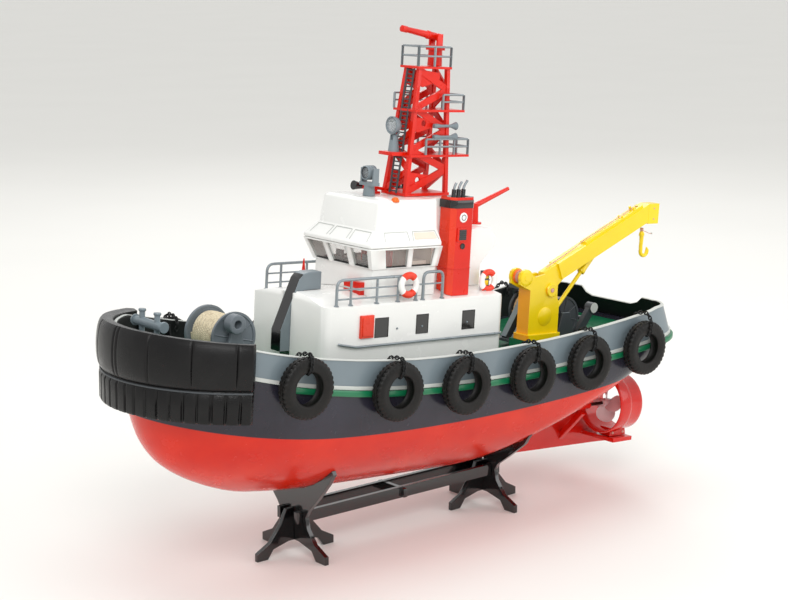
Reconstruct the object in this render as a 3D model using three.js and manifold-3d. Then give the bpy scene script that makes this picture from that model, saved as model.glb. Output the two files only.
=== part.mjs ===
// Model harbour tug on a display stand, in millimetres, +Z up, +X towards the bow, +Y to port.
// The origin is on the ground, under the centre of the whole object's box.
import * as THREE from 'three';
import { mergeVertices } from 'three/addons/utils/BufferGeometryUtils.js';
import Module from 'manifold-3d';

const wasm = await Module();
wasm.setup();

// ---------------------------------------------------------------- driving dimensions
const GAP = 0.3;                       // clearance between touching pieces
const BOW_UP = THREE.MathUtils.degToRad(3.86);   // the boat's trim on its stand
const SIDES = [['port', 1], ['starboard', -1]];

// Hull. Boat coordinates: x from the stand's centre, z from the ground.
const KEEL_Z = 51;
const KEEL_HALF = 4;
const HALF_BEAM = 90;
const WALL = 2.4;
const BOW_X = 283;
const TRANSOM_X = -278;
const SHEER_LOW_X = 20;                // where the deck edge is lowest
const STRAKE_HEIGHT = 5;
const STRAKE_OUT = 2.2;
const DECK_THICK = 2.5;
const BULWARK_THICK = 2.6;

// Fenders
const FENDER_SWEEP = THREE.MathUtils.degToRad(68);
const FENDER_THICK = 14;
const FENDER_FOOT_Z = 135.5;
const FENDER_GROOVE_Z = 162.5;
const FENDER_CROWN_Z = 204;
const TYRE_R = 25;
const TYRE_HOLE_R = 13.5;
const TYRE_WIDTH = 12;
const TYRE_STATIONS = [182, 87, 11, -67, -137, -209];

// Running gear
const SHAFT_Y = 30;
const SHAFT_Z = 96;
const SHAFT_R = 1.6;
const SHAFT_BORE_R = 2.2;
const NOZZLE_X = [-260, -228];
const NOZZLE_R = [27, 29];             // outer radius at the outlet and at the inlet
const NOZZLE_WALL = 2.2;
const PROP_X = -238;
const PROP_R = 19.6;
const BLADE_R = 9.2;

// Superstructure
const HOUSE_X = [-74, 130.5];
const HOUSE_HALF = 51;
const HOUSE_WALL = 2.4;
const ROOF_EDGE_Z = 215;
const ROOF_CROWN_Z = 222.5;
const TRUNK_HALF = 6.5;
const BRIDGE_X = [0, 72];
const BRIDGE_HALF = 40;
const SILL_Z = 243;
const EAVE_Z = 261;
const BRIDGE_ROOF_Z = 300;
const CASING_HALF = 28;
const CASING_ROOF_Z = 271;             // the bridge's low aft roof
const FUNNEL_X = [-36, -9.5];
const FUNNEL_Y = [29, 47];
const FUNNEL_TOP_Z = 302;
const RAIL_Y = HOUSE_HALF - 2.2;
const RAIL_TOP_Z = 238;
const MAST_TOP_Z = 412;

// Crane
const CRANE_X = -133;
const CRANE_Y = 34;
const CRANE_WIDTH = 15;
const CRANE_BASE_Z = 168;
const BOOM_PIVOT = [-140, 213];        // x, z
const BOOM_RISE = THREE.MathUtils.degToRad(23.7);
const BOOM_LENGTH = 151;
const RAM_FOOT = [-150, 188];          // x, z of the ram's lower pin
const RAM_HEAD = [74, 6];              // its upper pin on the boom: along, above
const SHEAVE = [-108, 226];            // x, z
const HOOK_ALONG = 136;
const ROPE_R = 0.4;

// Winches: x, z of the drum axis, flange radius, core radius, half width
const BOW_WINCH = { x: 197, z: 190.5, flange: 21.5, core: 14, half: 20 };
const AFT_WINCH = { x: -174, z: 183, flange: 20, core: 15, half: 27 };

// Stand, in ground coordinates
const CRADLE_X = 110;
const STAND_PLATE = 4;
const BEAM_Y = 12;
const BEAM_Z = [30, 40];

// ---------------------------------------------------------------- solids and pieces
const model = new THREE.Group();
const boat = new THREE.Group();
boat.rotation.y = -BOW_UP;
model.add(boat);

const FINISHES = {
  red: [0xd9261c, 0.3], navy: [0x3b3d47, 0.35], grey: [0x7d868f, 0.45], darkGrey: [0x4a4f55, 0.5],
  green: [0x0d5a3a, 0.4], rubber: [0x23211f, 0.75], white: [0xf2f1ec, 0.3], black: [0x121212, 0.3],
  yellow: [0xf6d000, 0.35], orange: [0xf08a10, 0.35], rope: [0xcdbb9c, 0.9], glass: [0xb9c6c4, 0.1],
  steel: [0x9a9da0, 0.3], blue: [0x2a4f9c, 0.5], pink: [0xe2d2d2, 0.4],
};

function piece(name, geometry, finish, parent = boat) {
  const [color, roughness] = FINISHES[finish];
  const metalness = finish === 'steel' ? 1 : 0;
  const mesh = new THREE.Mesh(geometry, new THREE.MeshStandardMaterial({ color, roughness, metalness }));
  mesh.name = name;
  parent.add(mesh);
  return mesh;
}

function solid(geometry) {
  const bare = geometry.clone();
  for (const name of Object.keys(bare.attributes)) {
    if (name !== 'position') bare.deleteAttribute(name);
  }
  const merged = mergeVertices(bare, 1e-4);
  return new wasm.Manifold(new wasm.Mesh({
    numProp: 3,
    vertProperties: new Float32Array(merged.attributes.position.array),
    triVerts: new Uint32Array(merged.index.array),
  }));
}

function surface(manifold) {
  const mesh = manifold.getMesh();
  const geometry = new THREE.BufferGeometry();
  geometry.setAttribute('position', new THREE.BufferAttribute(new Float32Array(mesh.vertProperties), 3));
  geometry.setIndex(new THREE.BufferAttribute(new Uint32Array(mesh.triVerts), 1));
  return geometry;
}

function join(...geometries) {
  return surface(geometries.flat(Infinity).map(solid).reduce((sum, next) => sum.add(next)));
}

function cut(geometry, ...tools) {
  return surface(tools.flat(Infinity).map(solid).reduce((rest, tool) => rest.subtract(tool),
    solid(geometry)));
}

function common(a, b) {
  return surface(solid(a).intersect(solid(b)));
}

// A box from its ranges.
function block([x0, x1], [y0, y1], [z0, z1]) {
  return new THREE.BoxGeometry(x1 - x0, y1 - y0, z1 - z0)
    .translate((x0 + x1) / 2, (y0 + y1) / 2, (z0 + z1) / 2);
}

// A round bar between two points, or a cone when the end radius differs.
function bar(from, to, radius, sides = 8, endRadius = radius) {
  const start = new THREE.Vector3(...from);
  const along = new THREE.Vector3(...to).sub(start);
  const geometry = new THREE.CylinderGeometry(endRadius, radius, along.length(), sides);
  geometry.translate(0, along.length() / 2, 0);
  const turn = new THREE.Quaternion().setFromUnitVectors(new THREE.Vector3(0, 1, 0), along.normalize());
  return geometry.applyQuaternion(turn).translate(...from);
}

// A square or flat bar between two points.
function strut(from, to, width, thick = width) {
  const start = new THREE.Vector3(...from);
  const end = new THREE.Vector3(...to);
  const length = start.distanceTo(end);
  const geometry = new THREE.BoxGeometry(width, thick, length).translate(0, 0, length / 2);
  const holder = new THREE.Object3D();
  holder.position.copy(start);
  holder.lookAt(end);
  holder.updateMatrix();
  return geometry.applyMatrix4(holder.matrix);
}

// An outline given as [a, b] pairs, extruded between two heights along the third axis.
function slab(outline, [low, high], plane = 'xz') {
  const shape = new THREE.Shape(outline.map(([a, b]) => new THREE.Vector2(a, b)));
  const geometry = new THREE.ExtrudeGeometry(shape, { depth: high - low, bevelEnabled: false,
    curveSegments: 6 });
  if (plane === 'xy') return geometry.translate(0, 0, low);
  if (plane === 'xz') return geometry.rotateX(Math.PI / 2).translate(0, high, 0);
  return geometry.applyMatrix4(new THREE.Matrix4().set(0, 0, 1, low, 1, 0, 0, 0, 0, 1, 0, 0, 0, 0, 0, 1));
}

// A body of revolution about an axis parallel to x or y; the profile is [radius, along] pairs.
function turned(profile, sides, axis) {
  const closed = [...profile, profile[0]].map(([r, a]) => new THREE.Vector2(r, a));
  const geometry = new THREE.LatheGeometry(closed, sides);
  return axis === 'x' ? geometry.rotateZ(-Math.PI / 2) : geometry;
}

// A round section to sweep along a curve.
function disc(radius, sides) {
  return new THREE.Shape(Array.from({ length: sides }, (_, i) => new THREE.Vector2(
    radius * Math.cos(i * 2 * Math.PI / sides), radius * Math.sin(i * 2 * Math.PI / sides))));
}

// A rounded rectangle outline about the x range and the half width, corner radius r.
function roundedPlan([x0, x1], half, r, steps = 4) {
  const corners = [[x1 - r, half - r, 0], [x0 + r, half - r, 1], [x0 + r, -half + r, 2], [x1 - r,
    -half + r, 3]];
  return corners.flatMap(([cx, cy, quarter]) => Array.from({ length: steps + 1 }, (_, i) => {
    const angle = (quarter + i / steps) * Math.PI / 2;
    return [cx + r * Math.cos(angle), cy + r * Math.sin(angle)];
  }));
}

// A closed skin over a row of rings with equal point counts; the end rings are filled in,
// unless the row is a loop.
function skin(rings, loop = false) {
  const count = rings[0].length;
  const points = rings.flat();
  const index = [];
  const bands = loop ? rings.length : rings.length - 1;
  for (let band = 0; band < bands; band++) {
    const a = band * count;
    const b = ((band + 1) % rings.length) * count;
    for (let i = 0; i < count; i++) {
      const j = (i + 1) % count;
      index.push(a + i, a + j, b + j, a + i, b + j, b + i);
    }
  }
  if (!loop) {
    const last = (rings.length - 1) * count;
    for (let i = 0; i < Math.floor((count - 1) / 2); i++) {
      const j = count - 1 - i;
      const k = j - 1;
      const next = i + 1;
      index.push(i, k, next, i, j, k);
      index.push(last + i, last + next, last + k, last + i, last + k, last + j);
    }
  }
  const kept = [];
  for (let i = 0; i < index.length; i += 3) {
    const [a, b, c] = index.slice(i, i + 3);
    const same = (p, q) => p === q || Math.hypot(...points[p].map((v, n) => v - points[q][n])) < 1e-6;
    if (!same(a, b) && !same(b, c) && !same(a, c)) kept.push(a, b, c);
  }
  const volume = kept.reduce((sum, _, i) => (i % 3 ? sum : sum + new THREE.Vector3(...points[kept[i]])
    .dot(new THREE.Vector3(...points[kept[i + 1]]).cross(new THREE.Vector3(...points[kept[i + 2]])))), 0);
  const geometry = new THREE.BufferGeometry();
  geometry.setAttribute('position', new THREE.Float32BufferAttribute(points.flat(), 3));
  geometry.setIndex(volume < 0 ? kept.reverse() : kept);   // faces point out
  return mergeVertices(geometry, 1e-4);
}

// ---------------------------------------------------------------- hull lines
const lerp = THREE.MathUtils.lerp;

function sheer(x) {                    // lower edge of the rubbing strake
  const ahead = (x - SHEER_LOW_X) / 185;
  const astern = (SHEER_LOW_X - x) / 251;
  return 143 + 18 * (x > SHEER_LOW_X ? ahead ** 2 : astern ** 2);
}
const deckEdge = (x) => sheer(x) + STRAKE_HEIGHT;
const deckTop = (x) => sheer(x) + 3;

function bulwarkTop(x, y) {
  const rise = x > 30 ? 19 * ((x - 30) / 190) ** 2 : 20.5 * ((30 - x) / 247) ** 2;
  const lowered = x < TRANSOM_X + 12 ? THREE.MathUtils.smoothstep(46 - Math.abs(y), 0, 12) * 8 : 0;
  return 174.5 + Math.min(rise, 24) - lowered;
}

// The waterline at a height t, from 0 at the keel to 1 at the deck edge.
function waterline(t, inset = 0) {
  const fullness = (1 - (1 - t) ** 2) ** (2 / 3);
  return {
    half: lerp(KEEL_HALF, HALF_BEAM, fullness) - inset,
    shoulder: 55 + 132 * t ** 1.2,
    bow: 168 + 106 * (1 - (1 - t) ** 3) ** 0.7 + (BOW_X - 274) * t ** 6 - inset,
    quarter: -40 - 150 * t,
    stern: -70 - (-70 - TRANSOM_X) * t ** 0.9 + inset,
    corner: 2 + 3 * t ** 3,
  };
}

// Half breadth of a waterline at x.
function breadth(line, x) {
  if (x > line.shoulder) {
    return line.half * Math.sqrt(Math.max(0, 1 - ((x - line.shoulder) / (line.bow - line.shoulder)) ** 2));
  }
  if (x > line.quarter) return line.half;
  const reach = (line.quarter - x) / (line.quarter - line.stern);
  return line.half * Math.max(0, 1 - Math.min(1, reach) ** line.corner) ** (1 / line.corner);
}

// Points of a waterline in plan, from the bow round the port side to the stern and back.
function planPoints(line, turns = 9) {
  const port = [];
  for (let i = 0; i <= turns; i++) {
    const angle = (i / turns) * Math.PI / 2;
    port.push([line.shoulder + (line.bow - line.shoulder) * Math.cos(angle), line.half * Math.sin(angle)]);
  }
  for (const part of [0.25, 0.5, 0.75]) port.push([lerp(line.shoulder, line.quarter, part), line.half]);
  for (let i = 0; i <= turns; i++) {
    const angle = (i / turns) * Math.PI / 2;
    const power = 2 / line.corner;
    port.push([line.quarter + (line.stern - line.quarter) * Math.sin(angle) ** power,
      line.half * Math.max(0, Math.cos(angle)) ** power]);
  }
  const starboard = port.slice(1, -1).reverse().map(([x, y]) => [x, -y]);
  return [...port, ...starboard];
}

function hullRing(t, inset = 0, lift = 0) {
  const forefoot = (x) => 7 * Math.max(0, (x - 90) / 120) ** 2 * (1 - t) ** 3;
  return planPoints(waterline(t, inset)).map(([x, y]) => [x, y,
    KEEL_Z + lift + 97 * t + (deckEdge(x) - KEEL_Z - 97) * t ** 3 + forefoot(x)]);
}

const OUTER_LEVELS = [0, 0.04, 0.1, 0.18, 0.28, 0.4, 0.52, 0.64, 0.76, 0.88, 1];
const INNER_LEVELS = [1, 0.8, 0.6, 0.4, 0.25, 0.12];

function hullShell() {
  const outer = OUTER_LEVELS.map((t) => hullRing(t));
  const inner = INNER_LEVELS.map((t) => hullRing(t, WALL, t === 1 ? 0 : WALL * (1 - t)));
  const shell = skin([...outer, ...inner]);
  const onShaft = ([x0, x1], radius) => SIDES.map(([, side]) => (
    bar([x0, side * SHAFT_Y, SHAFT_Z], [x1, side * SHAFT_Y, SHAFT_Z], radius, 12)));
  return cut(join(shell, onShaft([-213, -128], 3.6)), onShaft([-240, -120], SHAFT_BORE_R));
}

// The hull's outer body, filled, for cutting its neighbours clear of it.
function hullBody(drop) {
  return skin(OUTER_LEVELS.map((t) => hullRing(t))).translate(0, 0, -drop);
}

// A plate or block across the boat between two heights that change with x.
function deckBody(bottom, top, inset, stations = 22) {
  const line = waterline(0.9, inset);
  const middle = (line.bow + line.stern) / 2;
  const reach = (line.bow - line.stern) / 2 * 0.998;
  const rings = Array.from({ length: stations + 1 }, (_, i) => {
    const x = middle + reach * Math.cos((i / stations) * Math.PI);
    const half = breadth(line, x);
    return [[x, half, bottom(x)], [x, half, top(x)], [x, -half, top(x)], [x, -half, bottom(x)]];
  });
  return skin(rings);
}

// Everything below the deck's surface, for standing deck gear on it.
const underDeck = () => deckBody(() => 100, (x) => deckTop(x) + GAP, -5);

// ---------------------------------------------------------------- hull pieces
function addHull() {
  piece('hull', hullShell(), 'navy');
  const deck = deckBody((x) => deckTop(x) - DECK_THICK, deckTop, WALL + GAP);
  const hatch = block([-42, 92], [-34, 34], [100, 200]);
  const pedestal = block([CRANE_X - 22, CRANE_X + 22], [CRANE_Y - 13, CRANE_Y + 13],
    [deckTop(CRANE_X) - 1, CRANE_BASE_Z - GAP]);
  piece('main_deck', join(cut(deck, hatch), pedestal), 'green');

  // The bulwark stands on the hull's edge all the way round and leans in towards the stern.
  const line = waterline(1);
  const sections = planPoints(line).map(([x, y]) => {
    const centre = THREE.MathUtils.clamp(x, line.quarter, line.shoulder);
    const inward = new THREE.Vector2(centre - x, -y).normalize();
    if (x < TRANSOM_X + 4) inward.set(1, inward.y);
    const at = (offset, z) => [x + inward.x * offset, y + inward.y * offset, z];
    const lean = 9 * THREE.MathUtils.smoothstep(-x, 215, 272);
    const foot = deckEdge(x) + GAP;
    const top = bulwarkTop(x, y);
    return [at(0, foot), at(lean, top), at(lean + BULWARK_THICK, top), at(BULWARK_THICK, foot)];
  });
  piece('bulwark', skin(sections, true), 'grey');

  // The strake runs round the hull's edge from one end of the bow fender to the other.
  const band = (out) => planPoints({ ...line, half: HALF_BEAM + out, bow: BOW_X + out,
    stern: TRANSOM_X - out }, 12);
  const near = band(GAP);
  const far = band(STRAKE_OUT);
  const strake = near.map((inside, i) => [inside, far[i], sheer(inside[0])]).filter(([[x]]) => x < 200)
    .map(([a, b, z]) => [[...a, z], [...b, z + 0.6], [...b, z + STRAKE_HEIGHT - 0.6], [...a,
      z + STRAKE_HEIGHT]]);
  piece('rub_strake', skin(strake), 'green');
}

// The bow fender: a round upper roll over a straight ribbed lower band.
function addBowFender() {
  const line = waterline(1);
  const steps = 20;
  const rings = Array.from({ length: steps + 1 }, (_, i) => {
    const angle = lerp(-FENDER_SWEEP, FENDER_SWEEP, i / steps);
    const out = [Math.cos(angle), Math.sin(angle)];
    const at = (offset, z) => [line.shoulder + (line.bow - line.shoulder + offset) * out[0],
      (HALF_BEAM + offset) * out[1], z];
    const crown = FENDER_CROWN_Z - 5 * out[1] ** 2;
    const widest = FENDER_GROOVE_Z + 10;
    return [
      at(GAP + 0.6, FENDER_FOOT_Z - 2), at(FENDER_THICK - 4.5, FENDER_FOOT_Z),
      at(FENDER_THICK - 3.5, FENDER_GROOVE_Z - 4), at(FENDER_THICK - 5, FENDER_GROOVE_Z),
      at(FENDER_THICK - 1.2, FENDER_GROOVE_Z + 3), at(FENDER_THICK, widest),
      at(FENDER_THICK - 1, crown - 15), at(FENDER_THICK - 4, crown - 6),
      at(FENDER_THICK * 0.45, crown), at(GAP + 0.6, crown - 2),
    ];
  });
  piece('bow_fender', skin(rings), 'rubber');
}

function addTyres() {
  const half = TYRE_WIDTH / 2;
  const profile = [[TYRE_HOLE_R, -half + 1.5], [TYRE_HOLE_R + 3, -half], [TYRE_R - 4, -half], [TYRE_R,
    -half + 4],
    [TYRE_R, half - 4], [TYRE_R - 4, half], [TYRE_HOLE_R + 3, half], [TYRE_HOLE_R, half - 1.5]];
  for (const [name, side] of SIDES) {
    TYRE_STATIONS.forEach((x, number) => {
      const y = breadth(waterline(1), x) + STRAKE_OUT + GAP + half + 0.3;
      piece(`${name}_tyre_${number + 1}`, turned(profile, 16).translate(x, side * y, sheer(x) + 6),
        'rubber');
    });
  }
}

// ---------------------------------------------------------------- running gear
function addRunningGear() {
  const [aft, fore] = NOZZLE_X;
  const keelPlate = slab([[-60, KEEL_Z + 40], [-60, KEEL_Z + 1], [-120, KEEL_Z], [-258, 49], [-278, 48],
    [-278, 54], [-258, 60], [-252, 130], [-150, 130]], [-2.5, 2.5]);
  const footTop = 63;
  const foot = block([-262, -236], [-44, 44], [footTop - 4, footTop]);
  const legs = SIDES.map(([, side]) => strut([-206, 0, 58], [-206, side * (SHAFT_Y - 1), SHAFT_Z - 7], 5));
  const ringRoom = SIDES.map(([, side]) => bar([aft - 1, side * SHAFT_Y, SHAFT_Z], [fore + 1,
    side * SHAFT_Y, SHAFT_Z],
    Math.max(...NOZZLE_R) + GAP, 28));
  piece('skeg', cut(join(keelPlate, foot, legs), hullBody(0.5), ringRoom), 'red');

  for (const [name, side] of SIDES) {
    const y = side * SHAFT_Y;
    const shaft = (x0, x1, radius, sides, endRadius) => bar([x0, y, SHAFT_Z], [x1, y, SHAFT_Z], radius,
      sides, endRadius);
    const [outlet, inlet] = NOZZLE_R;
    const ring = turned([[outlet - NOZZLE_WALL, aft + 1], [outlet - 1, aft], [outlet, aft + 1.5],
      [inlet, fore - 2], [inlet - 1, fore], [inlet - NOZZLE_WALL, fore - 1.5]], 28, 'x').translate(0, y,
        SHAFT_Z);
    const saddle = block([-260, -238], [y - 7, y + 7], [footTop + GAP, SHAFT_Z - outlet + 1.5]);
    piece(`${name}_nozzle`, cut(join(ring, saddle), hullBody(0.5)), 'red');

    const blades = [0, 1, 2, 3].map((blade) => new THREE.CylinderGeometry(BLADE_R, BLADE_R, 1.4, 14)
      .rotateZ(Math.PI / 2 - side * 0.6).translate(0, 0, PROP_R - BLADE_R)
      .rotateX(blade * Math.PI / 2).translate(PROP_X, y, SHAFT_Z));
    piece(`${name}_propeller`, join(blades, shaft(-243, -126, SHAFT_R, 10), shaft(PROP_X + 6, PROP_X - 6,
      4.2, 12, 3)),
      'pink');
    piece(`${name}_motor`, join(shaft(-125.5, -120, 5, 12), shaft(-120, -84, 12, 16)), 'steel');
  }
  piece('battery_pack', block([-20, 84], [-17, 17], [72, 94]), 'blue');
  piece('receiver_box', block([-60, -28], [-14, 14], [66, 78]), 'black');
}

// ---------------------------------------------------------------- deck gear
function addWinch(name, spec, frameParts) {
  const { x, z, flange, core, half } = spec;
  const reel = turned([[2, -half], [flange, -half], [flange, -half + 2], [core, -half + 2], [core,
    half - 2],
    [flange, half - 2], [flange, half], [2, half]], 24).translate(x, 0, z);
  piece(`${name}_winch_drum`, reel, 'rope');
  const foot = Math.max(deckTop(x - 15), deckTop(x + 15)) + GAP + 0.6;
  const cheeks = SIDES.map(([, side]) => slab([[x - 13, foot], [x + 13, foot], [x + 5, z + 5], [x - 5,
    z + 5]],
    side > 0 ? [half + 0.8, half + 3.6] : [-half - 3.6, -half - 0.8]));
  const axle = bar([x, -half - 3, z], [x, half + 3, z], 1.7, 12);
  const bed = block([x - 14, x + 14], [-half - 3.6, half + 3.6], [foot - 0.6, foot + 1.4]);
  piece(`${name}_winch_frame`, join(cheeks, axle, bed, frameParts), 'grey');
}

function addDeckGear() {
  addWinch('bow', BOW_WINCH, []);
  const gallows = SIDES.map(([, side]) => strut([-133, side * 7, 161], [-160, side * 7, 205], 7));
  const tie = block([-166, -156], [-AFT_WINCH.half - 3.6, 18.5], [204, 209]);
  const post = strut([AFT_WINCH.x + 5, -AFT_WINCH.half - 2.2, 186], [-161, -AFT_WINCH.half - 2.2, 208],
    5, 2.8);
  const sole = block([AFT_WINCH.x + 12, -127], [-18.5, 18.5], [158.8, 161.4]);
  addWinch('aft', AFT_WINCH, [...gallows, tie, post, sole]);

  const bittX = 265;
  const bittFoot = deckTop(bittX) + 5;
  piece('bow_bitts', cut(join(
    block([bittX - 7, bittX + 6.5], [-22, 22], [bittFoot - 12, bittFoot]),
    SIDES.map(([, side]) => bar([bittX, side * 11, bittFoot - 1], [bittX, side * 11, 213], 2.4, 12)),
    bar([bittX, -20, 204], [bittX, 20, 204], 3.8, 12),
  ), underDeck()), 'grey');

  // Towing gear near the stern: two raked arms with bolted ends, and two cross rollers.
  const guideX = -212;
  const guideTop = 188;
  const base = deckTop(guideX - 14) + GAP;
  const rollers = [[-3, 177], [2, 168]];
  piece('tow_gear', join(
    block([guideX - 13, guideX + 13], [-24, 24], [base, base + 2.5]),
    SIDES.map(([, side]) => [
      strut([guideX + 8, side * 17, base + 1], [guideX - 9, side * 17, guideTop], 8, 5),
      bar([guideX - 9, side * 17 - 4.2, guideTop], [guideX - 9, side * 17 + 4.2, guideTop], 5, 14),
    ]),
    rollers.map(([dx, z]) => bar([guideX + dx, -17, z], [guideX + dx, 17, z], 2.2, 10)),
  ), 'darkGrey');
}

// ---------------------------------------------------------------- superstructure
// The house's outer or inner body: rounded in plan, rounded where walls meet roof, cambered roof.
function houseBody(inset, foot) {
  const [aft, fore] = [HOUSE_X[0] + inset, HOUSE_X[1] - inset];
  const half = HOUSE_HALF - inset;
  const crown = ROOF_CROWN_Z - inset;
  const side = [[aft, foot], [fore, foot], [fore, crown - 9], [fore - 1.5, crown - 4], [fore - 5, crown],
    [aft + 14, crown], [aft + 6, crown - 5], [aft + 1.5, crown - 12], [aft, crown - 20]];
  const plan = slab(roundedPlan([aft, fore], half, 8 - inset), [foot, crown + 1], 'xy');
  return cut(common(slab(side, [-half, half]), plan), overRoof(-inset));
}

// Everything above the cambered roof.
function overRoof(lift) {
  const edge = ROOF_EDGE_Z + lift;
  const crown = ROOF_CROWN_Z + lift;
  const outline = [[-60, edge - 1.2], [-HOUSE_HALF, edge], [-27, crown - 2], [-7, crown], [7, crown],
    [27, crown - 2],
    [HOUSE_HALF, edge], [60, edge - 1.2], [60, 340], [-60, 340]];
  return slab(outline, [-130, 180], 'yz');
}

// Whatever part of a body stands on the house roof.
const onRoof = (geometry) => common(geometry, overRoof(GAP));

function addHouse() {
  const recess = block([HOUSE_X[1] - 14, HOUSE_X[1] + 5], [-TRUNK_HALF - GAP, TRUNK_HALF + GAP], [100,
    300]);
  const recessWall = block([HOUSE_X[1] - 16, HOUSE_X[1] - 1], [-TRUNK_HALF - 2.3, TRUNK_HALF + 2.3],
    [165, ROOF_CROWN_Z - 1]);
  const shell = join(cut(houseBody(0, 140), houseBody(HOUSE_WALL, 130)), recessWall);
  piece('deckhouse', cut(shell, recess, underDeck()), 'white');

  // The ventilation trunk rises in the recess at the front of the house and bends over its roof.
  const trunk = [[140.5, 172], [140.5, 190], [122.5, 233], [119, 236.5], [113, 238], [99.5, 238], [99.5,
    200],
    [117, 200], [117, 172]];
  const clear = houseBody(-GAP, 140);
  const slot = block([HOUSE_X[1] - 13.5, HOUSE_X[1] + 20], [-TRUNK_HALF, TRUNK_HALF], [150, 240]);
  const body = slab(trunk, [-TRUNK_HALF, TRUNK_HALF]);
  piece('ventilation_trunk', join(cut(body, clear), common(body, slot)), 'darkGrey');

  addBridge();
}

// Bridge: straight sill walls, windows that lean out to the eave, and a roof with a tall fascia.
function addBridge() {
  const [back, front] = BRIDGE_X;
  const ringAt = (z, fore, half, aft) => roundedPlan([aft, fore], half, 3, 2).map(([x, y]) => [x, y, z]);
  const low = ROOF_EDGE_Z - 5;
  const wall = skin([ringAt(low, front, BRIDGE_HALF, back), ringAt(SILL_Z, front, BRIDGE_HALF, back)]);
  const room = block([back + 2, front - 2], [2 - BRIDGE_HALF, BRIDGE_HALF - 2], [ROOF_CROWN_Z + 3,
    SILL_Z + 5]);
  // Between the funnels a casing runs aft, with its own leaning aft windows and low roof.
  const casing = slab([[-62, low], [back + 2, low], [back + 2, SILL_Z], [back - GAP, SILL_Z],
    [back - GAP, BRIDGE_ROOF_Z],
    [-42, BRIDGE_ROOF_Z], [-42, CASING_ROOF_Z], [-74, CASING_ROOF_Z], [-80, CASING_ROOF_Z - 9],
    [-80, CASING_ROOF_Z - 14], [-62, SILL_Z - 4]], [-CASING_HALF, CASING_HALF]);
  const loft = slab([[-60, low - 5], [back - 3, low - 5], [back - 3, BRIDGE_ROOF_Z - 2.4], [-39,
    BRIDGE_ROOF_Z - 2.4],
    [-39, CASING_ROOF_Z - 2.4], [-72, CASING_ROOF_Z - 2.4], [-77, CASING_ROOF_Z - 13], [-60, SILL_Z - 5]],
  [2.4 - CASING_HALF, CASING_HALF - 2.4]);
  piece('bridge', onRoof(cut(join(cut(wall, room), casing), loft)), 'white');

  const glass = [ringAt(SILL_Z + GAP, front - 0.5, BRIDGE_HALF - 0.5, back + 0.5),
    ringAt(EAVE_Z, front + 7, BRIDGE_HALF + 5, back + 0.5), ringAt(EAVE_Z, front + 5, BRIDGE_HALF + 3,
      back + 2.5),
    ringAt(SILL_Z + GAP, front - 2.5, BRIDGE_HALF - 2.5, back + 2.5)];
  piece('bridge_windows', skin(glass, true), 'glass');

  const roofRings = [[EAVE_Z + GAP, 9, 7], [EAVE_Z + 3, 9, 7], [275, -2, 0], [BRIDGE_ROOF_Z - 2, -5, -2],
    [BRIDGE_ROOF_Z, -8, -4]].map(([z, ahead, out]) => ringAt(z, front + ahead, BRIDGE_HALF + out,
      back + 0.5));
  const hollowRings = [[EAVE_Z - 1, 4, 2], [275, -6, -4], [BRIDGE_ROOF_Z - 3, -9, -6]]
    .map(([z, ahead, out]) => ringAt(z, front + ahead, BRIDGE_HALF + out, back + 2.5));
  piece('bridge_roof', cut(skin(roofRings), skin(hollowRings)), 'white');
}

function addFunnels() {
  const [x0, x1] = FUNNEL_X;
  const [y0, y1] = FUNNEL_Y;
  const chamfer = 4;
  const outline = [[x0, y0], [x1 - 1, y0], [x1, y1 - chamfer], [x1 - chamfer, y1], [x0 + chamfer, y1],
    [x0, y1 - chamfer]];
  for (const [name, side] of SIDES) {
    const plan = outline.map(([x, y]) => [x, side * y]);
    const stack = slab(side > 0 ? plan : plan.reverse(), [ROOF_EDGE_Z - 5, FUNNEL_TOP_Z], 'xy');
    const mouth = block([x0 + 5, x1 - 5], side > 0 ? [y0 + 3, y1 - 3] : [3 - y1, -y0 - 3],
      [FUNNEL_TOP_Z - 4, FUNNEL_TOP_Z + 5]);
    const pipes = [0, 1, 2].map((n) => bar([x0 + 8 + n * 5.5, side * (y0 + 8), FUNNEL_TOP_Z - 6],
      [x0 + 7 + n * 5.5, side * (y0 + 8), FUNNEL_TOP_Z + 6], 2));
    piece(`${name}_funnel`, onRoof(join(cut(stack, mouth), pipes)), 'red');
  }
}

// Handrails: a low run with two lower bars, then a taller hoop by the bridge door.
function addRails() {
  const low = ROOF_EDGE_Z - 2;
  const hoop = RAIL_TOP_Z + 2;
  for (const [name, side] of SIDES) {
    const across = (half) => [side * RAIL_Y - half, side * RAIL_Y + half];
    const post = (x, top) => block([x - 1, x + 1], across(1), [low, top]);
    const rod = (run, z) => block(run, across(0.8), [z - 0.7, z + 0.7]);
    piece(`${name}_rail`, onRoof(join(
      [116, 101, 73, 50, 30].map((x) => post(x, RAIL_TOP_Z)), [22, 0].map((x) => post(x, hoop)),
      [RAIL_TOP_Z - 1, 229, 221].map((z) => rod([30, 117], z)), [hoop - 1, 229].map((z) => rod([0, 30], z)),
    )), 'grey');
  }
}

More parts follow.
